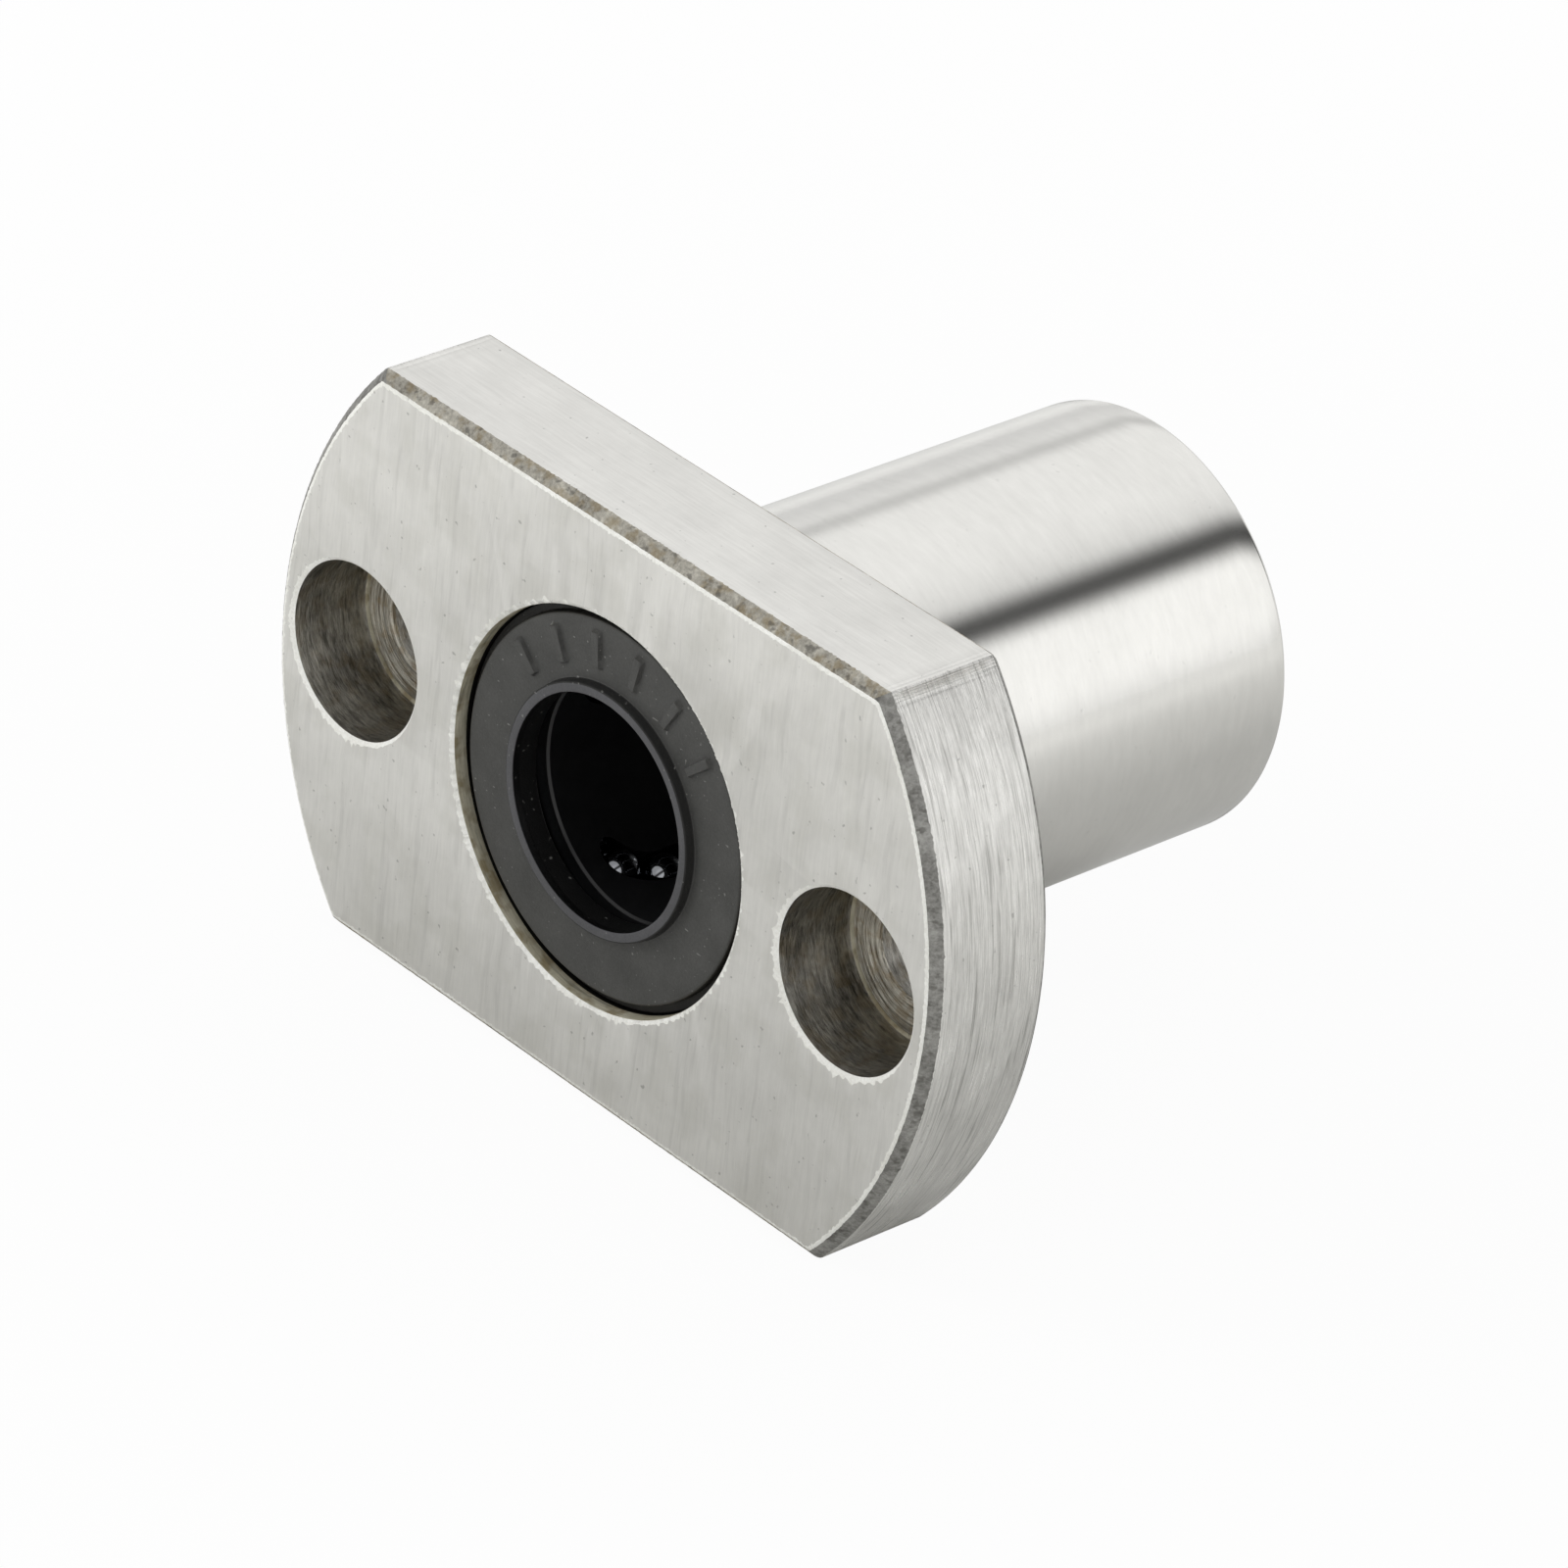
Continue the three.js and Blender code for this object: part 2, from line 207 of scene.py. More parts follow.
def piece(name, skin, sharp=30):
    """Makes a mesh object from a skin, with its faces turned outward and edges past an angle kept crisp."""
    mesh = bpy.data.meshes.new(name)
    counts = np.concatenate([np.full(len(f), f.shape[1]) for f, _, _ in skin.faces])
    mesh.vertices.add(len(skin.points))
    mesh.vertices.foreach_set("co", (skin.points * MM).astype(np.float32).ravel())
    mesh.loops.add(int(counts.sum()))
    mesh.loops.foreach_set("vertex_index", np.concatenate([f.ravel() for f, _, _ in skin.faces]))
    mesh.polygons.add(len(counts))
    mesh.polygons.foreach_set("loop_start", np.cumsum(counts) - counts)
    mesh.polygons.foreach_set("material_index", np.concatenate([z for _, z, _ in skin.faces]))
    smooth = np.concatenate([np.full(len(f), s) for f, _, s in skin.faces])
    mesh.polygons.foreach_set("use_smooth", smooth)
    mesh.update(calc_edges=True)
    mesh.validate()
    turned = bmesh.new()
    turned.from_mesh(mesh)
    bmesh.ops.recalc_face_normals(turned, faces=turned.faces)
    print(name, "faces", len(turned.faces), "open edges", sum(not e.is_manifold for e in turned.edges))
    turned.to_mesh(mesh)
    turned.free()
    mesh.set_sharp_from_angle(angle=math.radians(sharp))
    made = bpy.data.objects.new(name, mesh)
    bpy.context.scene.collection.objects.link(made)
    return made


# %% [markdown]
# ## Finishes: the node helper
#
# Every material here is a small graph: object coordinates turned to millimetres, a few noises at
# a real grain size, and a Principled shader. One function adds any node, sets its values and makes its
# links, so a graph reads as a list of steps. Colours are written as the hex values a screen shows,
# and one function turns them to the linear values that light is computed with.

# %% Colour and nodes
def linear(code):
    """sRGB hex to linear RGBA: each channel over 0.04045 is ((c + 0.055) / 1.055) to the power 2.4."""
    shown = np.array([int(code[i:i + 2], 16) for i in (1, 3, 5)]) / 255
    light = np.where(shown > 0.04045, ((shown + 0.055) / 1.055) ** 2.4, shown / 12.92)
    return (*light.tolist(), 1.0)


def add(tree, kind, settings=(), links=()):
    """Adds a node. Settings name its properties or inputs, and links name inputs and their sources."""
    made = tree.nodes.new("ShaderNode" + kind)
    for key, value in dict(settings).items():
        if isinstance(key, str) and hasattr(made, key):
            setattr(made, key, value)
        else:
            made.inputs[key].default_value = value
    for key, source in dict(links).items():
        tree.links.new(source, made.inputs[key])
    return made


def blank(name):
    """A new material with an empty graph, and its object coordinates in millimetres."""
    made = bpy.data.materials.new(name)
    made.use_nodes = True
    tree = made.node_tree
    tree.nodes.clear()
    place = add(tree, "TexCoord")
    scaled = add(tree, "VectorMath", {"operation": "SCALE", "Scale": 1 / MM}, {0: place.outputs["Object"]})
    return made, tree, scaled.outputs[0]


# %% [markdown]
# ## Steel
#
# All the steel is one hardened bearing steel, and only the way each face was worked tells them apart.
# Grinding leaves fine straight lines, turning leaves lines round the axis, a milling cutter leaves
# a dull edge with brown heat stains, and a drill leaves a torn wall, painted dark grey as painted shade.
# A scratch map wrapped on each face could show this, but it would blur close up and show its seams. So one
# function makes the steel from noises in the solid's own space, and takes the length of the grain along X,
# Y and Z in millimetres: a long grain along one axis and a short one across it draws lines. The same grain
# drives the colour, the roughness and a slight bump, because on real metal they are one and the same
# scratch.

# %% Steel function
def ring_grain(tree, mm, pitch):
    """Cutter rings round a screw hole: the vector (radius / pitch, x / 2, z / 2) from the hole's middle."""
    parts = add(tree, "SeparateXYZ", (), {0: mm})
    aside = add(tree, "Math", {"operation": "ABSOLUTE"}, {0: parts.outputs["X"]})
    across = add(tree, "Math", {"operation": "SUBTRACT", 1: hole_offset}, {0: aside.outputs[0]})
    flat = add(tree, "CombineXYZ", (), {"X": across.outputs[0], "Z": parts.outputs["Z"]})
    radius = add(tree, "VectorMath", {"operation": "LENGTH"}, {0: flat.outputs[0]})
    rings = add(tree, "Math", {"operation": "DIVIDE", 1: pitch}, {0: radius.outputs["Value"]})
    halves = add(tree, "VectorMath", {"operation": "SCALE", "Scale": 0.5}, {0: flat.outputs[0]})
    side = add(tree, "SeparateXYZ", (), {0: halves.outputs[0]})
    return add(tree, "CombineXYZ", (), {
        "X": rings.outputs[0], "Y": side.outputs["X"], "Z": side.outputs["Z"]})


def steel(name, light, dark, rough, grain, lift, stain="#8A8378", stain_amount=0.0, blotch=3.0,
          speck_amount=0.35, grain_amount=0.5, score=0.0, metal=1.0, sway=0.1, ring_pitch=0.0):
    """Worked steel. Colour = grain noise between two greys, then wide stains, scores and dark specks.

    Grain is the length of a mark along X, Y and Z, and lift is the height of the bump, all in
    millimetres. Blotch is the width of a cloud, score and speck_amount are how dark those marks get, and
    sway bends straight lines a little. A ring_pitch lays the grain in rings round each screw hole.
    """
    made, tree, mm = blank(name)
    # The lines drift slowly, as a part does under a tool, and then space is divided by the grain.
    wobble = add(tree, "TexNoise", {"Scale": 0.35, "Detail": 2.0}, {"Vector": mm})
    lean = add(tree, "VectorMath", {"operation": "MULTIPLY", 1: (sway, sway, sway)},
               {0: wobble.outputs["Color"]})
    bent = add(tree, "VectorMath", {"operation": "ADD"}, {0: mm, 1: lean.outputs[0]})
    if ring_pitch:
        bent = ring_grain(tree, bent.outputs[0], ring_pitch)
    stretch = add(tree, "VectorMath", {"operation": "DIVIDE", 1: grain}, {0: bent.outputs[0]})
    lines = add(tree, "TexNoise", {"Scale": 1.0, "Detail": 5.0, "Roughness": 0.68},
                {"Vector": stretch.outputs[0]})
    # Grain and wide clouds together pick a grey between the dark and the light one.
    cloud = add(tree, "TexNoise", {"Scale": 1 / blotch, "Detail": 5.0, "Roughness": 0.65}, {"Vector": mm})
    both = add(tree, "Mix", {"data_type": "FLOAT", 0: grain_amount},
               {2: cloud.outputs["Fac"], 3: lines.outputs["Fac"]})
    spread = add(tree, "MapRange", {"From Min": 0.36, "From Max": 0.64}, {"Value": both.outputs[0]})
    grey = add(tree, "Mix", {"data_type": "RGBA", 6: linear(dark), 7: linear(light)},
               {0: spread.outputs[0]})
    # Stains: smaller patches, about a third of a cloud wide.
    patch = add(tree, "TexNoise", {"Scale": 1 / (blotch * 0.35), "Detail": 3.0}, {"Vector": mm})
    where = add(tree, "MapRange", {"From Min": 0.47, "From Max": 0.62, "To Max": stain_amount},
                {"Value": patch.outputs["Fac"]})
    stained = add(tree, "Mix", {"data_type": "RGBA", 7: linear(stain)},
                  {0: where.outputs[0], 6: grey.outputs[2]})
    # Scores: a few marks twice as long as the grain. The three factors differ so that no pattern repeats.
    longer = add(tree, "VectorMath", {"operation": "MULTIPLY", 1: (0.43, 0.47, 0.45)},
                 {0: stretch.outputs[0]})
    cuts = add(tree, "TexNoise", {"Scale": 1.0, "Detail": 2.0}, {"Vector": longer.outputs[0]})
    scored = add(tree, "MapRange", {"From Min": 0.58, "From Max": 0.68, "To Max": score},
                 {"Value": cuts.outputs["Fac"]})
    marked = add(tree, "Mix", {"data_type": "RGBA", 7: linear("#5C5A55")},
                 {0: scored.outputs[0], 6: stained.outputs[2]})
    # Specks: only the very top of a noise a quarter of a millimetre wide.
    dots = add(tree, "TexNoise", {"Scale": 4.2, "Detail": 1.0}, {"Vector": mm})
    rare = add(tree, "MapRange", {"From Min": 0.735, "From Max": 0.8, "To Max": speck_amount},
               {"Value": dots.outputs["Fac"]})
    specked = add(tree, "Mix", {"data_type": "RGBA", 7: linear("#4A4742")},
                  {0: rare.outputs[0], 6: marked.outputs[2]})
    # Gloss follows the same noise as the colour, and the bump follows the grain alone.
    dull = add(tree, "MapRange", {"To Min": rough * 1.12, "To Max": rough * 0.88},
               {"Value": both.outputs[0]})
    bump = add(tree, "Bump", {"Distance": lift * MM, "Strength": 1.0}, {"Height": lines.outputs["Fac"]})
    shader = add(tree, "BsdfPrincipled", {"Metallic": metal}, {
        "Base Color": specked.outputs[2], "Roughness": dull.outputs[0], "Normal": bump.outputs[0]})
    add(tree, "OutputMaterial", (), {"Surface": shader.outputs[0]})
    return made


# %% [markdown]
# ## The worked faces
#
# The sleeve is one piece of metal, so it is one mesh, and each of its faces picks a finish by a number.
# Splitting the sleeve into separate objects would open seams at the edges. The colours are of clean
# steel under oil: near white where a wheel has ground it, and grey to brown where a cutter has rubbed.
# Some also hold painted light: the burred edges and the seat rings carry painted highlights, the pocket
# walls carry painted glints, and the pocket walls, the depth of the seal pockets and the bore are painted
# darker as painted shade.

# %% Finishes of the sleeve
FACE, FLAT, CHAMFER, RIM, BARREL, POCKET, MOUTH, BORE, BURR_HIGHLIGHT, ARC, SEAT, DEEP_SHADE = range(12)
steel_finishes = [
    # Front and rear face: surface ground with a coarse wheel. Soft sheen with faint upright lines.
    steel("ground_bearing_steel", "#ECEBE7", "#DBDAD6", 0.44, (0.12, 0.12, 1.8), 0.004, stain="#C9C8C0",
          stain_amount=0.25, blotch=5.0, grain_amount=0.35, score=0.08, sway=0.3),
    # The two flats: ground lengthwise. Lines run along the flange, and the sheen is a little tighter.
    steel("ground_flat_bearing_steel", "#EDECE8", "#DDDCD8", 0.40, (2.5, 0.12, 0.12), 0.004),
    # Edge break along a flat: milled dry. A mottled band with brown heat stains.
    steel("milled_edge_bearing_steel", "#E0DCD0", "#87837A", 0.40, (0.14, 0.14, 0.14), 0.04,
          stain="#97855F", stain_amount=0.5, blotch=1.3, score=0.6),
    # Rim of the flange: turned on a lathe. Deep close lines run round it and break the light up.
    steel("turned_bearing_steel", "#FDFCF8", "#C6C5C1", 0.28, (1.6, 0.06, 1.6), 0.03,
          grain_amount=0.7, score=0.35),
    # Barrel: ground between centres and polished. It mirrors the room in long clear bands.
    steel("polished_bearing_steel", "#E6E5E1", "#DDDCD8", 0.15, (1.2, 0.3, 1.2), 0.0008, speck_amount=0.1),
    # Wall of a head pocket: bored with a worn tool. Its dark grey is painted shade for the depth of the
    # pocket, and its golden stain patches and pale streaks are painted glints.
    steel("drilled_steel_painted_shade_and_glints", "#C9C6BE", "#4B4945", 0.32, (0.5, 0.11, 0.5), 0.05,
          stain="#8E7C5B", stain_amount=0.3, blotch=1.8, grain_amount=0.5, score=0.6, metal=0.94,
          sway=0.12),
    # Mouth of a seal pocket: turned and left oily. A dull straw colour, which the oil film gives it.
    steel("turned_seat_bearing_steel", "#E2DDC8", "#B0AA92", 0.55, (0.7, 0.08, 0.7), 0.01, stain="#86703F",
          stain_amount=0.55, blotch=1.8, score=0.4, metal=0.55),
    # Bore and ball race: ground lengthwise by a small wheel. Smooth, and its colour is set a shade darker
    # as painted shade for its own shadow.
    steel("ground_race_bearing_steel", "#BDBCB8", "#A5A4A0", 0.2, (0.12, 2.0, 0.12), 0.002),
    # Burred edges: metal pushed over by a tool or rolled by a file. Their near-white, half-metal colour is
    # a painted highlight that makes the thin edges shine.
    steel("burred_edge_painted_highlight_steel", "#FFFFFB", "#E4E3DB", 0.42, (0.1, 0.1, 0.1), 0.03, metal=0.3),
    # Edge break round the arc: filed by hand. Grey and torn, with short marks along the shaft.
    steel("filed_edge_bearing_steel", "#B2B1AD", "#6C6B67", 0.42, (0.14, 0.3, 0.14), 0.04,
          blotch=1.2, score=0.6),
    # Seat of the screw head: faced by the end of the cutter. Rings one cut apart between near white and
    # dark brown-grey, with brown stains. The near-white rings are painted highlights, glints of the cut.
    steel("counterbored_steel_painted_glints", "#FFFBEE", "#7C7465", 0.34, (1.0, 1.0, 1.0), 0.09, stain="#9A7F50",
          stain_amount=0.4, blotch=1.2, grain_amount=0.8, score=0.5, metal=0.9, ring_pitch=0.11),
    # Depth of a seal pocket: turned, and behind the rubber. Its colour is painted dark as painted shade, so
    # it reads as a dark line.
    steel("shaded_pocket_bearing_steel", "#4A4843", "#2B2A27", 0.5, (0.7, 0.08, 0.7), 0.01),
]
print("steel finishes:", [m.name for m in steel_finishes])

# %% [markdown]
# ## The outline of the flange
#
# The flange is a round disc cut to two flats. Seen along the shaft its edge is a polar curve: in each
# direction it lies where the disc ends or where the flat is met, whichever comes first. Taking the softer
# minimum of the two rounds the corner a little, as a deburring file does. An edge break is the
# same curve drawn further in. The points sit closer together at the four corners.

# %% Flange outline
corner_angle = math.asin(flat_height / flange_radius)
around = np.linspace(0, 2 * math.pi, 1280, endpoint=False)
corner_middle = corner_angle - math.radians(0.35)
near = corner_middle + np.linspace(-1, 1, 41) * math.radians(1.1)
four_corners = [near, math.pi - near, math.pi + near, 2 * math.pi - near]
flange_angles = np.unique(np.concatenate([around, *four_corners]))
random = np.random.default_rng(8)
waves_in_a_line = 40


def wander(angles, waves, size):
    """A closed wavy line: size times a sum of cosines with whole wave numbers and random phases.

    The sum is divided by the square root of half the count, so that size is its usual height.
    """
    numbers = random.integers(waves[0], waves[1], waves_in_a_line)
    phases = random.uniform(0, 2 * math.pi, waves_in_a_line)
    heights = random.normal(0, 1, waves_in_a_line)
    lines = heights[:, None] * np.cos(numbers[:, None] * angles[None] + phases[:, None])
    return size * lines.sum(0) / math.sqrt(waves_in_a_line / 2)


def flange_loop(inset, level):
    """Polar curve r = softer minimum of (R - inset) and (F - inset) / |sin|, at a level along Y.

    R is the disc's radius and F the flat's height. The softer minimum is the plain one less
    log(1 + exp(-firmness times the difference)) / firmness, which rounds the corner.
    """
    firmness = 30.0
    disc = flange_radius - inset + 0 * flange_angles
    flat = (flat_height - inset) / np.maximum(np.abs(np.sin(flange_angles)), 1e-6)
    radius = np.minimum(disc, flat)
    radius = radius - np.log1p(np.exp(-firmness * np.abs(disc - flat))) / firmness
    return np.stack([radius * np.cos(flange_angles), level + 0 * flange_angles,
                     radius * np.sin(flange_angles)], 1)


# %% [markdown]
# ## The steel sleeve with its flange
#
# The side of the flange is a chain of loops from the front face over the edge break, the rim and the rear
# edge break to the rear face. Each is given by how far in it lies and how far back. A Bevel modifier
# would make each edge break even all the way round. Here a narrow rolled edge between the face and the edge
# break wanders a few hundredths of a millimetre, so that it catches the light unevenly, as a worked
# edge does. The four corners are nicked as well, where the file has jumped from the arc to the flat.

# %% Side of the flange
sleeve = Skin()
thickness = flange_back - front_face
rolled = 0.09
round_over = 0.035
corner_reach = 0.02
ragged = np.abs(wander(flange_angles, (60, 560), 0.034))
chipped = np.abs(wander(flange_angles, (60, 560), 0.028))
at_corner = np.abs(np.abs(np.sin(flange_angles)) - math.sin(corner_angle))
nicks = np.exp(-(at_corner / corner_reach) ** 2) * np.abs(wander(flange_angles, (120, 600), 0.03))
back_edge_start = thickness - back_chamfer
rows = [
    # Rolled edge: it falls 0.045 mm over its width, and its inner end wanders on the face.
    (front_chamfer + rolled + ragged, 0),
    (front_chamfer + 0.45 * rolled + 0.6 * ragged, 0.012),
    (front_chamfer - 0.02 + 0.3 * ragged, 0.045),
    # Front edge break: thirds of the way from the face to the side, a few microns uneven.
    (front_chamfer * 0.66 + wander(flange_angles, (30, 300), 0.004), front_chamfer * 0.36),
    (front_chamfer * 0.33 + wander(flange_angles, (30, 300), 0.004), front_chamfer * 0.68),
    # Its chipped outer end, rounded over on to the side.
    (round_over, front_chamfer - 0.03 + 0.5 * chipped),
    (0.008, front_chamfer + 0.01 + 0.8 * chipped),
    (nicks * 0.5, front_chamfer + 0.05 + chipped),
    # The side.
    (nicks, front_chamfer + 0.5),
    (nicks, thickness / 2),
    (nicks, back_edge_start - 0.5),
    (0, back_edge_start - 0.05),
    # Rear edge break, with both of its ends rounded over.
    (0.008, back_edge_start - 0.01),
    (round_over, back_edge_start + 0.03),
    (back_chamfer - 0.03, thickness - round_over),
    (back_chamfer + 0.01, thickness - 0.008),
    (back_chamfer + 0.05, thickness),
]
middle_angles = flange_angles + 0.5 * (np.roll(flange_angles, -1) - flange_angles)
on_flat = np.abs(np.sin(middle_angles)) > flat_height / flange_radius
side_zone = np.where(on_flat, FLAT, RIM)
break_zone = np.where(on_flat, CHAMFER, ARC)
# The rolled edge takes the burred-edge finish, whose near-white colour is a painted highlight.
zones = [BURR_HIGHLIGHT] * 2 + [break_zone] * 4 + [side_zone] * 5 + [break_zone] * 5
front_edge, back_edge = sleeve.loft([flange_loop(i, front_face + y) for i, y in rows], zones)
print("flange loops:", len(rows), "of", len(flange_angles), "points")

# %% [markdown]
# ## Head pockets and screw holes
#
# Each screw sinks into a flat-bottomed pocket. A Boolean with a cylinder would cut it cleanly, but the
# real cutter leaves rings on the wall and drags metal over one side of the mouth. So the pocket is
# a profile turned about its own line: the wall's radius rises and falls by a few microns along its
# depth, and the mouth grows a burr on the side where the cutter left.

# %% Head pockets
def turned_rows(profile, angles, centre=(0.0, 0.0)):
    """Rows of points for a profile of (radius, level) turned about a line along Y."""
    rows = []
    for radius, level in profile:
        across = centre[0] + radius * np.cos(angles)
        rows.append(np.stack([across, level + 0 * angles, centre[1] + radius * np.sin(angles)], 1))
    return rows


def head_pocket(side):
    """Adds one pocket and its screw hole to the sleeve and returns its front and back loop.

    Wall radius = pocket radius + cut height * sin(2 pi depth / cut pitch). The burr at the mouth is a
    wavy line times how nearly an angle points in the drag direction.
    """
    angles = np.linspace(0, 2 * math.pi, 224, endpoint=False)
    drag_direction, drag_share = math.radians(225), 0.35
    dragged = np.clip(np.cos(angles - drag_direction) + drag_share, 0, 1)
    burr = 0.02 + (0.06 + np.abs(wander(angles, (8, 90), 0.1))) * dragged
    wall = np.linspace(head_pocket_chamfer + 0.02, head_pocket_depth - head_pocket_corner, 26)
    cut_pitch, cut_height = 0.42, 0.006
    rings = head_pocket_radius + cut_height * np.sin(wall * 2 * math.pi / cut_pitch)
    profile = [(head_pocket_radius + head_pocket_chamfer + burr, 0),
               (head_pocket_radius + head_pocket_chamfer * 0.8 + 0.6 * burr, 0.02),
               (head_pocket_radius + 0.012, head_pocket_chamfer - 0.012)]
    profile += [(r, y) for r, y in zip(rings, wall)]
    seat_edge = head_pocket_radius - head_pocket_corner
    profile += [(seat_edge + head_pocket_corner * 0.7, head_pocket_depth - head_pocket_corner * 0.32),
                (seat_edge, head_pocket_depth),
                (seat_edge - 0.03, head_pocket_depth),
                (screw_hole_radius + 0.12, head_pocket_depth),
                (screw_hole_radius + 0.02, head_pocket_depth + 0.05),
                (screw_hole_radius, head_pocket_depth + 0.15),
                (screw_hole_radius, thickness - 0.15),
                (screw_hole_radius + 0.1, thickness)]
    levels = [(r, front_face + y) for r, y in profile]
    # The burred mouth takes the burred-edge finish, a painted highlight. The wall and the screw hole take
    # the drilled finish, whose dark grey is painted shade and whose golden patches are painted glints. The
    # seat takes the counterbored finish with its painted highlights.
    zones = [BURR_HIGHLIGHT] * 2 + [POCKET] * 27 + [MOUTH] * 2 + [SEAT] * 3 + [POCKET] * (len(levels) - 35)
    return sleeve.loft(turned_rows(levels, angles, (side * hole_offset, 0.0)), zones)


holes = [head_pocket(-1), head_pocket(1)]
print("head pockets:", len(holes), "of", len(holes[0][0]), "points round")

# %% [markdown]
# ## Barrel, seal pockets and ball race
#
# From the root of the barrel the chain runs back along the barrel, round the rear end, into the seal
# pocket and the ring groove, through the bore with its four broached slots, and out of the front mouth.
# A lathe cuts the real one in the same order. A modelled cylinder with Booleans for the grooves would
# leave long thin faces, and the mirror bands on the barrel would show them.
# The slots have flat floors: in polar form the floor lies at height / cos, out to the slot's own radius.

# %% Barrel and bore
race_height = 5.53
slot_radius = 6.651
first_load_angle = math.radians(-106)
slot_start, slot_end, slot_run_out = (math.radians(a) for a in (-7.7, 61, 1.5))
turn_over = math.radians(80)
bore_angles = np.linspace(0, 2 * math.pi, 720, endpoint=False)
quarter = math.pi / 2
from_row = (first_load_angle - bore_angles) % quarter
from_row = np.where(from_row > turn_over, from_row - quarter, from_row)
floor = np.minimum(race_height / np.cos(from_row), slot_radius)
past = np.clip((from_row - slot_end) / slot_run_out, 0, 1)
bore_outline = np.where(from_row < slot_start, race_height, floor + (race_height - floor) * past)

root = front_face + thickness
ease = np.linspace(0, math.pi / 2, 6)
fillet = [(barrel_radius + root_fillet * (1 - math.sin(a)), root + root_fillet * (1 - math.cos(a)))
          for a in ease]
barrel = [(barrel_radius, y) for y in np.linspace(root + 1, rear_face - 1, 9)]
end_break_start, end_break_radius = rear_face - end_chamfer, barrel_radius - end_chamfer
end = [(barrel_radius, end_break_start - 0.06),
       (barrel_radius - 0.012, end_break_start - 0.01),
       (barrel_radius - 0.05, end_break_start + 0.05),
       (end_break_radius + 0.05, rear_face - 0.05),
       (end_break_radius - 0.01, rear_face - 0.012),
       (end_break_radius - 0.06, rear_face)]
mouth_burr = np.abs(wander(bore_angles, (8, 160), 0.06))
# Depth into the seal pocket past which its wall takes the dark finish, painted shade behind the seal.
painted_shade_depth = 0.6


def mouth(end_level, inward):
    """Profile from an end face into the seal pocket and its ring groove. Inward is +1 from the front."""
    return [(pocket_radius + mouth_chamfer + mouth_burr, end_level),
            (pocket_radius + 0.01, end_level + inward * mouth_chamfer),
            (pocket_radius, end_level + inward * (mouth_chamfer + 0.03)),
            (pocket_radius, end_level + inward * painted_shade_depth),
            (pocket_radius, end_level + inward * groove_start),
            (groove_radius, end_level + inward * groove_start),
            (groove_radius, end_level + inward * groove_end),
            (bore_outline, end_level + inward * groove_end)]


front_side = mouth(front_face, 1)
profile = fillet + barrel + end + mouth(rear_face, -1) + front_side[::-1]
# The mouth chamfers take the burred-edge finish, a painted highlight. The seal pocket's wall past that
# depth and its ring groove take the dark finish that is painted shade, and the bore its darker steel, also
# painted shade.
zones = ([BARREL] * (len(fillet) + len(barrel)) + [BARREL] * 5 + [FACE] + [BURR_HIGHLIGHT] + [MOUTH] * 2
         + [DEEP_SHADE] * 3 + [BORE] * 3 + [DEEP_SHADE] * 3 + [MOUTH] * 2 + [BURR_HIGHLIGHT])
barrel_root, mouth_edge = sleeve.loft(turned_rows(profile, bore_angles), zones)

# %% [markdown]
# ## Flat faces of the flange
#
# What is left open is the front and the rear face: level plates with three inner outlines each, which are
# two holes and the seal pocket or the barrel. They could be split into quads by hand. Here they are filled
# with triangles between the loops that are already there, so no edge is doubled, and a flat face shows no
# shading fault. Then the skin becomes one object. It takes the place of its CAD node, rides on the
# bushing's body and fills its material slot.

# %% Fill the faces and finish the sleeve
sleeve.flat(front_edge, [mouth_edge, holes[0][0], holes[1][0]], FACE)
sleeve.flat(back_edge, [barrel_root, holes[0][1], holes[1][1]], FACE)
steel_sleeve = piece("bearing_steel_sleeve", sleeve)
for finish in steel_finishes:
    steel_sleeve.data.materials.append(finish)
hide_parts("sleeve_with_flange")
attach(steel_sleeve, "bushing")

# %% [markdown]
# ## Seals
#
# Each seal is moulded nitrile rubber: a flat washer with a raised hub round the lip that wipes the shaft.
# It could be a curve with a Screw modifier. As an array its section is a closed outline with every corner
# rounded, turned about the shaft, and the raised bars on its face can be a height added to the front of
# the washer. So they are shape and not paint, and their sides catch the lamp.

# %% Seal section
seal_points = corners("front_seal")
rim_radius = np.hypot(seal_points[:, 0], seal_points[:, 2]).max()
lip_radius = np.hypot(seal_points[:, 0], seal_points[:, 2]).min()
hub_top, seal_back = seal_points[:, 1].min(), seal_points[:, 1].max()
hub_height, hub_radius, hub_slope = 0.35, 4.38, 0.04
rim_gap, rim_break, rim_foot = 0.35, 0.07, 0.37
lip_hollow, lip_flare = 0.1, 0.08
seal_face = hub_top + hub_height
face_radius = pocket_radius - rim_gap
section = np.array([
    [lip_radius, hub_top], [hub_radius, hub_top], [hub_radius + hub_slope, seal_face],
    [face_radius - rim_break, seal_face], [face_radius, seal_face + rim_break],
    [face_radius, seal_back - rim_foot], [rim_radius, seal_back - rim_foot], [rim_radius, seal_back],
    [lip_radius + lip_flare, seal_back], [lip_radius, seal_back - lip_flare],
    [lip_radius + lip_hollow, seal_face]])


def rounded(outline, reach, steps=5):
    """Closed outline with each corner B replaced by the curve (1-t)^2 A + 2t(1-t) B + t^2 C."""
    back, on = np.roll(outline, 1, 0) - outline, np.roll(outline, -1, 0) - outline
    back_length, on_length = np.linalg.norm(back, axis=1), np.linalg.norm(on, axis=1)
    size = np.minimum(reach, 0.45 * np.minimum(back_length, on_length))[:, None]
    start, finish = outline + size * back / back_length[:, None], outline + size * on / on_length[:, None]
    t = np.linspace(0, 1, steps)[None, :, None]
    curve = (1 - t) ** 2 * start[:, None] + 2 * t * (1 - t) * outline[:, None] + t ** 2 * finish[:, None]
    return curve.reshape(-1, 2)


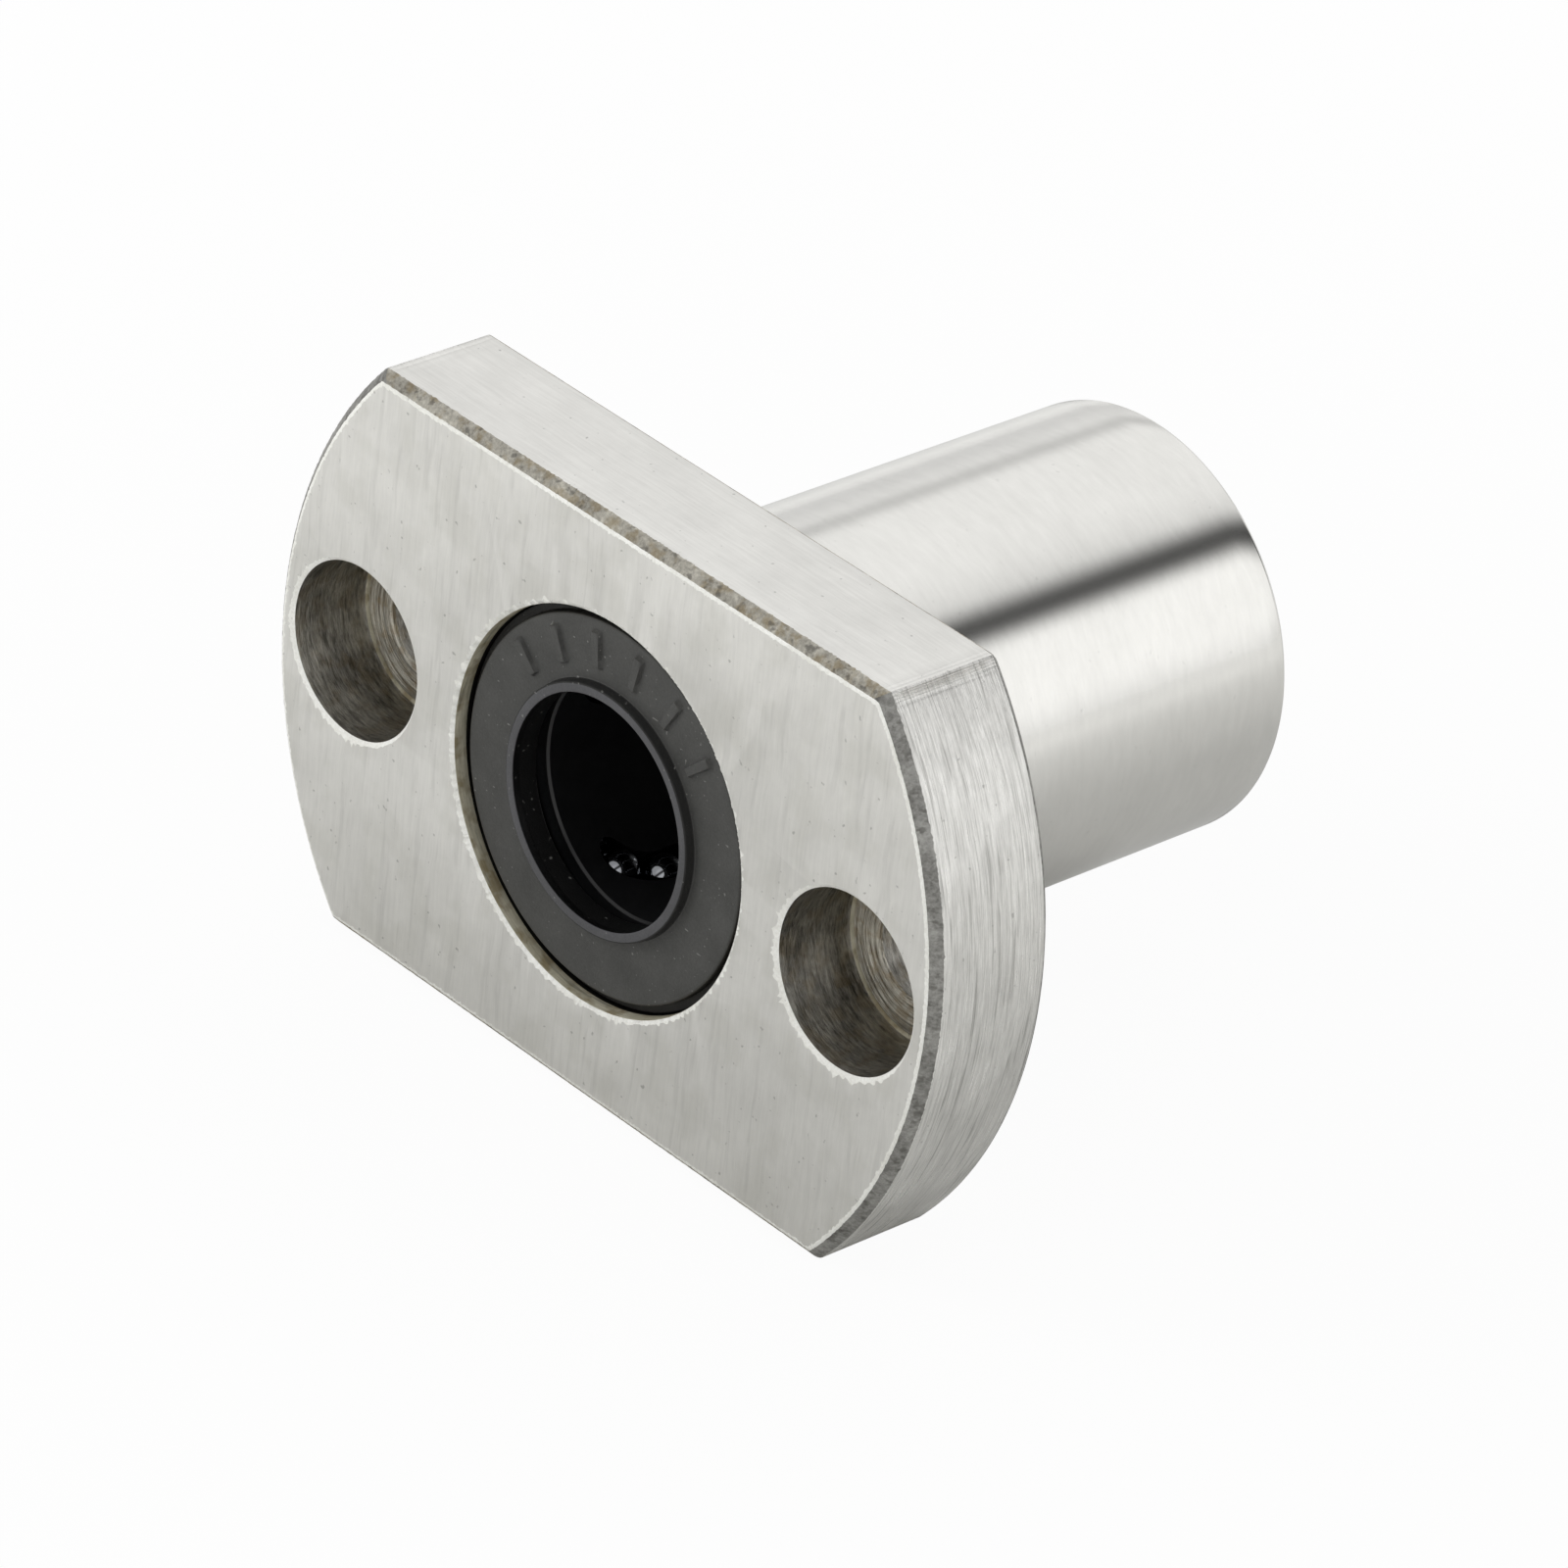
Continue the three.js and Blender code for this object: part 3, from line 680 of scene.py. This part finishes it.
def denser(outline, low, high, count):
    """Adds evenly spaced points where the outline crosses from one radius to the other at its front."""
    steps = np.linspace(low, high, count)
    first = np.flatnonzero((outline[:, 0] < low) & (np.roll(outline[:, 0], -1) > high))[0]
    ends = outline[first:first + 2]
    extra = np.stack([steps, np.interp(steps, ends[:, 0], ends[:, 1])], 1)
    return np.insert(outline, first + 1, extra, 0)


marked_inner, marked_outer = 4.85, 6.3
seal_section = denser(rounded(section, 0.05), marked_inner, marked_outer, 32)
print("seal section points:", len(seal_section))

# %% Bars on the seal's face
first_bar, bar_step, bar_count = 42, 19.5, 6
bar_angles = np.radians(first_bar + bar_step * np.arange(bar_count))
bar_inner, bar_outer = hub_radius + 0.55, face_radius - 0.4
bar_width, bar_height, bar_slope = 0.34, 0.14, 0.05
print(bar_count, "bars from", bar_inner, "to", bar_outer)


def seal_surface(turn):
    """Turned section plus bars: height = bar height times 3 s^2 - 2 s^3, a soft step.

    The share s goes from 0 to 1 over the bar's slope, by the distance inside the bar's outline.
    """
    angles = np.linspace(0, 2 * math.pi, 720, endpoint=False)
    radius, level = seal_section[:, 0][:, None], seal_section[:, 1][:, None]
    x, z = radius * np.cos(angles), radius * np.sin(angles)
    y = level + 0 * angles
    beside = 0.05
    front = (np.abs(level - seal_face) < 1e-6) & (radius > marked_inner - beside)
    front &= radius < marked_outer + beside
    for angle in bar_angles:
        along = x * math.cos(angle) + z * math.sin(angle)
        across = np.abs(z * math.cos(angle) - x * math.sin(angle))
        inside = np.minimum(np.minimum(along - bar_inner, bar_outer - along), bar_width / 2 - across)
        step = np.clip(inside / bar_slope + 0.5, 0, 1)
        y = np.where(front, y - bar_height * step * step * (3 - 2 * step), y)
    grid = np.stack([x, y, z], 2)
    return grid * np.array([-1, -1, 1]) if turn else grid


# %% [markdown]
# ## Rubber
#
# Nitrile rubber is black with carbon and comes out of a blasted steel mould, so it is matt with a fine
# pebble, and pale dust sticks to it. A plain dark colour would look like plastic. The noise that
# shades it is cloudy and fine at once. The four rubbers are the same stuff in different colours: the
# flat face is dusty, the hub is a little lighter and bluer, the walls are painted near black as painted
# shade, and the lip is oily and painted near black as painted shade too.

# %% Rubbers
def rubber(name, dark, light, rough):
    """Nitrile rubber: dark grey, matt from the mould, with pale dust specks and a fine pebble."""
    made, tree, mm = blank(name)
    cloud = add(tree, "TexNoise", {"Scale": 0.8, "Detail": 4.0}, {"Vector": mm})
    pebble = add(tree, "TexNoise", {"Scale": 14.0, "Detail": 3.0, "Roughness": 0.6}, {"Vector": mm})
    tone = add(tree, "Mix", {"data_type": "FLOAT", 0: 0.5},
               {2: cloud.outputs["Fac"], 3: pebble.outputs["Fac"]})
    wide = add(tree, "MapRange", {"From Min": 0.35, "From Max": 0.65}, {"Value": tone.outputs[0]})
    grey = add(tree, "Mix", {"data_type": "RGBA", 6: linear(dark), 7: linear(light)}, {0: wide.outputs[0]})
    dust = add(tree, "TexNoise", {"Scale": 7.0, "Detail": 0.0}, {"Vector": mm})
    rare = add(tree, "MapRange", {"From Min": 0.79, "From Max": 0.84, "To Max": 0.4},
               {"Value": dust.outputs["Fac"]})
    dusty = add(tree, "Mix", {"data_type": "RGBA", 7: linear("#9A9A96")},
                {0: rare.outputs[0], 6: grey.outputs[2]})
    dull = add(tree, "MapRange", {"To Min": rough * 1.1, "To Max": rough * 0.9},
               {"Value": cloud.outputs["Fac"]})
    bump = add(tree, "Bump", {"Distance": 0.01 * MM}, {"Height": pebble.outputs["Fac"]})
    shader = add(tree, "BsdfPrincipled", {"IOR": 1.5}, {
        "Base Color": dusty.outputs[2], "Roughness": dull.outputs[0], "Normal": bump.outputs[0]})
    add(tree, "OutputMaterial", (), {"Surface": shader.outputs[0]})
    return made


seal_rubbers = [
    # Washer face, straight from the mould and dusty.
    rubber("moulded_nitrile_rubber", "#363634", "#434341", 0.56),
    # Side walls of the hub and the rim, painted near black as painted shade, since little light gets in.
    rubber("shaded_wall_nitrile_rubber", "#0E0E0D", "#181817", 0.6),
    # Front of the hub, a little lighter and bluer than the washer face.
    rubber("hub_nitrile_rubber", "#3E3E40", "#4C4C4F", 0.52),
    # Lip that wipes the shaft, wet with oil, which makes it glossier. Its near-black colour is painted
    # shade of the bore.
    rubber("wiped_lip_shaded_nitrile_rubber", "#080808", "#101010", 0.4),
]
WASHER, SHADED_WALL, HUB, SHADED_LIP = range(4)
mid_section = (seal_section + np.roll(seal_section, -1, 0)) / 2
middle_radius, middle_level = mid_section[:, 0], mid_section[:, 1]
hub_edge = hub_radius - 0.04
seal_zones = np.full(len(seal_section), WASHER)
# The hub and rim walls take the near-black rubber that is painted shade.
seal_zones[(middle_level < seal_face - 0.02) & (middle_radius > hub_edge)] = SHADED_WALL
seal_zones[(middle_level < hub_top + 0.03) & (middle_radius < hub_edge)] = HUB
seal_zones[(middle_level > seal_face + 0.04) & (middle_radius > face_radius - 0.1)] = SHADED_WALL
# The lip takes the near-black rubber that is painted shade of the bore.
seal_zones[(middle_level > hub_top + 0.03) & (middle_radius < lip_radius + 0.12)] = SHADED_LIP
print("seal faces by zone:", np.bincount(seal_zones))

# %% Both seals
for end_name, turn in (("front", False), ("rear", True)):
    skin = Skin()
    rows = seal_surface(turn)
    first, last = skin.loft(rows, seal_zones.tolist())
    skin.band(last, first, seal_zones[-1])
    made = piece(f"{end_name}_wiper_seal", skin, 40)
    for finish in seal_rubbers:
        made.data.materials.append(finish)
    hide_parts(f"{end_name}_seal")
    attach(made, "bushing")

# %% [markdown]
# ## Retaining rings
#
# Each ring is an open loop of spring steel strip, snapped into its groove to hold the cage. A curve with
# a bevel profile would give the same shape. Here its section is a rounded rectangle carried along an arc
# that stops short of a full turn, and the two cut ends are closed with a fan of triangles.

# %% Rings
# Drawn strip, tempered and brushed: a bluish grey with lines along it and a soft shine.
spring_steel = steel("bright_spring_steel", "#9A9DA1", "#7E8185", 0.3, (0.6, 0.08, 0.6), 0.004)
gap = math.radians(18)
for end_name in ("front", "rear"):
    ring_points = corners(f"{end_name}_retaining_ring")
    reach = np.hypot(ring_points[:, 0], ring_points[:, 2])
    low, high = ring_points[:, 1].min(), ring_points[:, 1].max()
    inner, outer = reach.min(), reach.max()
    section = rounded(np.array([[inner, low], [outer, low], [outer, high], [inner, high]]), 0.08)
    skin = Skin()
    sweep = np.linspace(gap / 2, 2 * math.pi - gap / 2, 240)
    rows = [np.stack([section[:, 0] * math.cos(a), section[:, 1], section[:, 0] * math.sin(a)], 1)
            for a in sweep]
    first, last = skin.loft(rows, 0)
    skin.fan(first, 0)
    skin.fan(last, 0)
    made = piece(f"{end_name}_spring_ring", skin)
    made.data.materials.append(spring_steel)
    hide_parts(f"{end_name}_retaining_ring")
    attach(made, "bushing")

# %% [markdown]
# ## Ball cage
#
# The cage is moulded acetal: a ring with a thick lobe in each broached slot, and an oval ball track sunk
# into it. The blank is one lofted skin, and each track is a U-shaped section carried round its oval. The
# line where a track meets the lobe is hard to write as a formula. So taking the four tracks out of the
# blank is a cut between closed bodies, which the Boolean modifier does.

# %% Cage
cage_points = corners("ball_cage")
cage_half = cage_points[:, 1].max()
cage_inner, cage_outer, lobe_radius = 4.25, 5.45, 6.571
turn_radius, load_radius, channel_radius = 1.54, 4.75, 0.83
straight = 14.514
lengthwise = np.array([0, 1, 0])


def circuit_axes(index):
    """Unit vectors of one ball circuit: out from the shaft, and sideways to its returning row."""
    angle = first_load_angle + index * quarter
    return np.array([math.cos(angle), 0, math.sin(angle)]), np.array([math.sin(angle), 0, -math.cos(angle)])


def cage_blank():
    """Closed skin of the ring with lobes: outer radius = height / cos on a lobe, else the ring's."""
    start = math.atan2(channel_radius, cage_outer)
    stop = math.acos(cage_inner / lobe_radius)
    lobe = np.minimum(cage_outer / np.cos(from_row), lobe_radius)
    inside = np.clip((from_row - start) / 0.01, 0, 1) * np.clip((stop - from_row) / 0.02, 0, 1)
    outer = cage_outer + (lobe - cage_outer) * inside
    slope = 0.08
    profile = [(cage_inner, -cage_half + slope), (cage_inner + slope, -cage_half),
               (outer - slope, -cage_half), (outer, -cage_half + slope),
               (outer, cage_half - slope), (outer - slope, cage_half),
               (cage_inner + slope, cage_half), (cage_inner, cage_half - slope)]
    skin = Skin()
    first, last = skin.loft(turned_rows(profile, bore_angles), 0)
    skin.band(last, first, 0)
    return piece("acetal_cage", skin)


def cage_track(index):
    """U-shaped section carried round an oval: point = path + across * normal + height * outward."""
    out, side = circuit_axes(index)
    bow = np.linspace(0, math.pi, 49)
    ends = np.concatenate([bow, bow + math.pi])
    end_sign = np.repeat([1, -1], len(bow))
    across = turn_radius * (1 - np.cos(ends))
    along = turn_radius * np.sin(ends) + end_sign * straight / 2
    normal = np.stack([-np.cos(ends), np.sin(ends)], 1)
    curve = np.linspace(math.pi, 2 * math.pi, 17)
    top = lobe_radius + 1 - load_radius
    u_across = np.concatenate([channel_radius * np.cos(curve), [channel_radius, -channel_radius]])
    u_height = np.concatenate([channel_radius * np.sin(curve), [top, top]])
    skin = Skin()
    rows = []
    for a, h in zip(u_across, u_height):
        flat_across = across + a * normal[:, 0]
        flat_along = along + a * normal[:, 1]
        sideways = flat_across[:, None] * side
        rows.append((load_radius + h) * out + sideways + flat_along[:, None] * lengthwise)
    first, last = skin.loft(rows, 0)
    skin.band(last, first, 0)
    return piece(f"track_cutter_{index}", skin)


def cut(body, cutter):
    """Applies a Boolean difference and removes the cutter."""
    change = body.modifiers.new("cut", "BOOLEAN")
    change.operation, change.object, change.solver = "DIFFERENCE", cutter, "EXACT"
    bpy.context.view_layer.update()
    graph = bpy.context.evaluated_depsgraph_get()
    result = bpy.data.meshes.new_from_object(body.evaluated_get(graph))
    body.modifiers.clear()
    body.data = result
    bpy.data.objects.remove(cutter)


cage = cage_blank()
for index in range(4):
    cut(cage, cage_track(index))
cage.data.set_sharp_from_angle(angle=math.radians(30))
print("cage faces:", len(cage.data.polygons))


# %% [markdown]
# ## Acetal
#
# The cage is moulded in polished steel, so its walls are near black and a little glossy. Only the flow of
# the melt shades it: wide soft streaks in the colour and in the gloss together.

# %% Acetal and the finished cage
def acetal():
    """Moulded acetal: near black and slightly glossy, with a faint flow pattern and fine pebble."""
    made, tree, mm = blank("moulded_black_acetal")
    flow = add(tree, "TexNoise", {"Scale": 1.5, "Detail": 3.0}, {"Vector": mm})
    tone = add(tree, "Mix", {"data_type": "RGBA", 6: linear("#0E0E0F"), 7: linear("#1B1B1C")},
               {0: flow.outputs["Fac"]})
    dull = add(tree, "MapRange", {"To Min": 0.28, "To Max": 0.42}, {"Value": flow.outputs["Fac"]})
    pebble = add(tree, "TexNoise", {"Scale": 20.0, "Detail": 2.0}, {"Vector": mm})
    bump = add(tree, "Bump", {"Distance": 0.004 * MM}, {"Height": pebble.outputs["Fac"]})
    shader = add(tree, "BsdfPrincipled", {"IOR": 1.48}, {
        "Base Color": tone.outputs[2], "Roughness": dull.outputs[0], "Normal": bump.outputs[0]})
    add(tree, "OutputMaterial", (), {"Surface": shader.outputs[0]})
    return made


cage.data.materials.clear()
cage.data.materials.append(acetal())
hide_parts("ball_cage")
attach(cage, "bushing")

# %% [markdown]
# ## Balls
#
# Each ball is a grid of longitude and latitude wrapped round a centre, with its two poles closed. Blender
# has a ball of its own, but one skin can hold a whole row, and every ball then has the same even grid.
# The centres are worked out from the path: a straight load row, a straight return row beside it and half
# a circle at each end. The balls are a sixth of the full circle apart all the way along. The frame
# joins some of them into rows and turns, and here they are the separate balls that those stand for.

# %% Balls
# Lapped between plates for hours: a mirror with hardly a mark on it. Its colour is set darker than clean
# steel as painted shade, for balls that lie deep in the dark bore.
shaded_ball_steel = steel("lapped_ball_steel_painted_shade", "#94969A", "#84868A", 0.07, (0.3, 0.3, 0.3), 0.0003,
                   speck_amount=0.0)


def balls(name, centres):
    """Spheres: point = centre + radius * (cos lat cos long, sin lat, cos lat sin long)."""
    skin = Skin()
    longitudes = np.linspace(0, 2 * math.pi, 28, endpoint=False)
    latitudes = np.linspace(-math.pi / 2, math.pi / 2, 17)[1:-1]
    for centre in centres:
        rows = [centre + ball_radius * np.stack([
            math.cos(h) * np.cos(longitudes), math.sin(h) + 0 * longitudes,
            math.cos(h) * np.sin(longitudes)], 1) for h in latitudes]
        first, last = skin.loft(rows, 0)
        skin.fan(first, 0, centre - ball_radius * lengthwise, True)
        skin.fan(last, 0, centre + ball_radius * lengthwise, True)
    made = piece(name, skin, 60)
    made.data.materials.append(shaded_ball_steel)
    return made


ball_pitch = turn_radius * math.pi / 3
balls_in_row = 9
load_places = (np.arange(balls_in_row) - balls_in_row / 2) * ball_pitch
return_places = load_places + ball_pitch
print("ball pitch", ball_pitch, "row from", load_places[0], "to", load_places[-1])
for index, letter in enumerate("abcd"):
    out, side = circuit_axes(index)
    for number, place in enumerate(load_places):
        made = balls(f"circuit_{letter}_steel_ball_{number + 1}", [load_radius * out + place * lengthwise])
        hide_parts(f"circuit_{letter}_load_ball_{number + 1}")
        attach(made, f"circuit_{letter}_load_row")
    back = [load_radius * out + 2 * turn_radius * side + place * lengthwise for place in return_places]
    made = balls(f"circuit_{letter}_returning_balls", back)
    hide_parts(f"circuit_{letter}_return_row")
    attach(made, f"circuit_{letter}_return_row")
    for end_name, sign in (("front", -1), ("rear", 1)):
        steps = np.radians(np.array([30, 90, 150]) - 30 * sign)
        centres = [load_radius * out + turn_radius * (1 - math.cos(s)) * side
                   + sign * (straight / 2 + turn_radius * math.sin(s)) * lengthwise for s in steps]
        made = balls(f"circuit_{letter}_{end_name}_turning_balls", centres)
        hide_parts(f"circuit_{letter}_{end_name}_turn_balls")
        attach(made, f"circuit_{letter}_{end_name}_turn")

# %% [markdown]
# ## Floor
#
# The part lies on its lower flat on a plain pale board. Bright metal mirrors the board all round it, so the
# board matters more as a thing to mirror than as a thing to see. Near the part it is a mid grey, which
# shades the lower half of every mirror, and further out it glows a little: an emission that grows with the
# distance from the part, a painted pool of light. To the camera it is nearly plain white with a trace of
# the contact shadow left in.

# %% Floor
low, high = (np.array(v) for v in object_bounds())
floor_mesh = bpy.data.meshes.new("floor")
reach = 3.0
floor_mesh.from_pydata([(-reach, -reach, low[2]), (reach, -reach, low[2]), (reach, reach, low[2]),
                        (-reach, reach, low[2])], [], [(0, 1, 2, 3)])
studio_floor = bpy.data.objects.new("studio_floor", floor_mesh)
bpy.context.scene.collection.objects.link(studio_floor)

# White emulsion on board, rolled flat: a matt surface with a faint mottle.
floor_paint, tree, mm = blank("white_painted_board")
mottle = add(tree, "TexNoise", {"Scale": 0.05, "Detail": 3.0}, {"Vector": mm})
tone = add(tree, "Mix", {"data_type": "RGBA", 6: linear("#DADAD8"), 7: linear("#E0E0DE")},
           {0: mottle.outputs["Fac"]})
# Painted light: the board glows, from none at 25 mm to its most at 120 mm from the part's middle.
far = add(tree, "VectorMath", {"operation": "LENGTH"}, {0: mm})
painted_glow = add(tree, "MapRange", {"From Min": 25.0, "From Max": 120.0, "To Max": 0.32},
           {"Value": far.outputs["Value"]})
board = add(tree, "BsdfPrincipled", {"Roughness": 0.8, "Emission Color": linear("#FFFFFF")},
            {"Base Color": tone.outputs[2], "Emission Strength": painted_glow.outputs[0]})
lit = add(tree, "Emission", {"Color": linear("#FFFFFF"), "Strength": 1.0})
white_share = 0.95
bare = add(tree, "MixShader", {0: white_share}, {1: board.outputs[0], 2: lit.outputs[0]})
seen = add(tree, "LightPath")
mixed = add(tree, "MixShader", (), {
    0: seen.outputs["Is Camera Ray"], 1: board.outputs[0], 2: bare.outputs[0]})
add(tree, "OutputMaterial", (), {"Surface": mixed.outputs[0]})
floor_mesh.materials.append(floor_paint)
studio_floor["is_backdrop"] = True
print("floor at", low[2], "and the part's top at", high[2])

# %% [markdown]
# ## Lamp
#
# One soft round lamp stands in front, to the left and above. It gives the rubber its shading and the bars
# their lit sides. Metal would mirror it as a white spot on the edge breaks, so it is hidden from
# glossy rays. A flag or a polariser does that job in a real studio.

# %% Lamp
lamp_data = bpy.data.lights.new("soft_front_lamp", "AREA")
lamp_data.shape, lamp_data.size, lamp_data.energy = "DISK", 0.1, 0.13
lamp = bpy.data.objects.new("soft_front_lamp", lamp_data)
lamp_place = Vector((-0.11, -0.13, 0.11))
lamp_turn = lamp_place.to_track_quat("Z", "Y").to_matrix().to_4x4()
lamp.matrix_world = Matrix.Translation(lamp_place) @ lamp_turn
bpy.context.scene.collection.objects.link(lamp)
lamp.visible_glossy = False
print("lamp", round(lamp_place.length * 1000), "mm away")

# %% [markdown]
# ## Surroundings
#
# A studio for bright metal is mostly what the metal mirrors. In a real one a white tent stands round the
# part, with black card slipped between its sheets. This sky does the same by formula: one smooth bright
# tent, three brighter soft panels, one narrow dark gap and one wider dim band. The gap draws the dark line
# along the barrel. It is sharp in the barrel and soft in the ground faces by their roughness alone.
# The camera itself sees a plain white backdrop.

# %% Sky parts
world = bpy.data.worlds.new("studio")
bpy.context.scene.world = world
world.use_nodes = True
tree = world.node_tree
tree.nodes.clear()
look = add(tree, "TexCoord").outputs["Generated"]
tent_strength = 0.95


def panel(direction, inner, outer, strength):
    """Soft round light: strength times a smooth step of the angle to a direction, from outer to inner."""
    middle = Vector(direction).normalized()
    toward = add(tree, "VectorMath", {"operation": "DOT_PRODUCT", 1: middle}, {0: look})
    return add(tree, "MapRange", {
        "interpolation_type": "SMOOTHSTEP", "From Min": math.cos(math.radians(outer)),
        "From Max": math.cos(math.radians(inner)), "To Max": strength}, {"Value": toward.outputs["Value"]})


def stripe(normal, narrow, wide, least):
    """Darker stripe on a great circle of the sky, given by the circle's normal.

    The light is least where the size of the dot product with the normal is below narrow, and rises
    to 1 at wide by a smooth step.
    """
    aside = add(tree, "VectorMath", {"operation": "DOT_PRODUCT", 1: Vector(normal)}, {0: look})
    size = add(tree, "Math", {"operation": "ABSOLUTE"}, {0: aside.outputs["Value"]})
    return add(tree, "MapRange", {
        "interpolation_type": "SMOOTHSTEP", "From Min": narrow, "From Max": wide,
        "To Min": least, "To Max": 1.0}, {"Value": size.outputs[0]})


# %% Sky
back_panel = panel((0.68, 0.61, 0.40), 8, 32, 0.55)
top_panel = panel((-0.37, 0.61, 0.70), 12, 45, 0.35)
front_panel = panel((0.40, -0.75, 0.52), 8, 32, 0.5)
dark_gap = stripe((-0.866, 0, 0.5), 0.02, 0.2, 0.06)
dim_band = stripe((-0.5, 0, -0.866), 0.0, 0.13, 0.66)
total = add(tree, "Math", {"operation": "ADD", 0: tent_strength}, {1: back_panel.outputs[0]})
for part, operation in ((top_panel, "ADD"), (front_panel, "ADD"), (dark_gap, "MULTIPLY"),
                        (dim_band, "MULTIPLY")):
    total = add(tree, "Math", {"operation": operation}, {0: total.outputs[0], 1: part.outputs[0]})
tent = add(tree, "Background", (), {"Strength": total.outputs[0]})
plain = add(tree, "Background", {"Color": linear("#FDFDFD"), "Strength": 1.0})
seen = add(tree, "LightPath")
mixed = add(tree, "MixShader", (), {
    0: seen.outputs["Is Camera Ray"], 1: tent.outputs[0], 2: plain.outputs[0]})
add(tree, "OutputWorld", (), {"Surface": mixed.outputs[0]})
bpy.context.scene.view_settings.view_transform = "Standard"
print("sky nodes:", len(tree.nodes))

# %% [markdown]
# ## Camera
#
# The part is seen from the front right and above, through a long lens from some distance, so that lines
# that are parallel on the part stay nearly parallel. The camera is tipped a little to one side. A Track To
# constraint could aim it. Here the aim is three angles, a distance and a point, and its axes are
# worked out from them: forward from azimuth and elevation, then right and up turned by the roll.

# %% Camera
azimuth, elevation, roll = (math.radians(a) for a in (44.52, 30.61, 6.84))
distance, lens, sensor = 0.3122, 218.7, 36.0
aim = Vector((-0.79, -2.72, -2.31)) * MM
forward = Vector((-math.sin(azimuth) * math.cos(elevation), math.cos(azimuth) * math.cos(elevation),
                  -math.sin(elevation)))
level_right = Vector((math.cos(azimuth), math.sin(azimuth), 0))
upright = level_right.cross(forward)
right = level_right * math.cos(roll) + upright * math.sin(roll)
turn = Matrix((right, right.cross(forward), -forward)).transposed()
camera_data = bpy.data.cameras.new("camera")
camera_data.lens, camera_data.sensor_width = lens, sensor
camera = bpy.data.objects.new("camera", camera_data)
camera.matrix_world = Matrix.Translation(aim - forward * distance) @ turn.to_4x4()
bpy.context.scene.collection.objects.link(camera)
bpy.context.scene.camera = camera
print("camera at", tuple(round(v, 4) for v in camera.location))
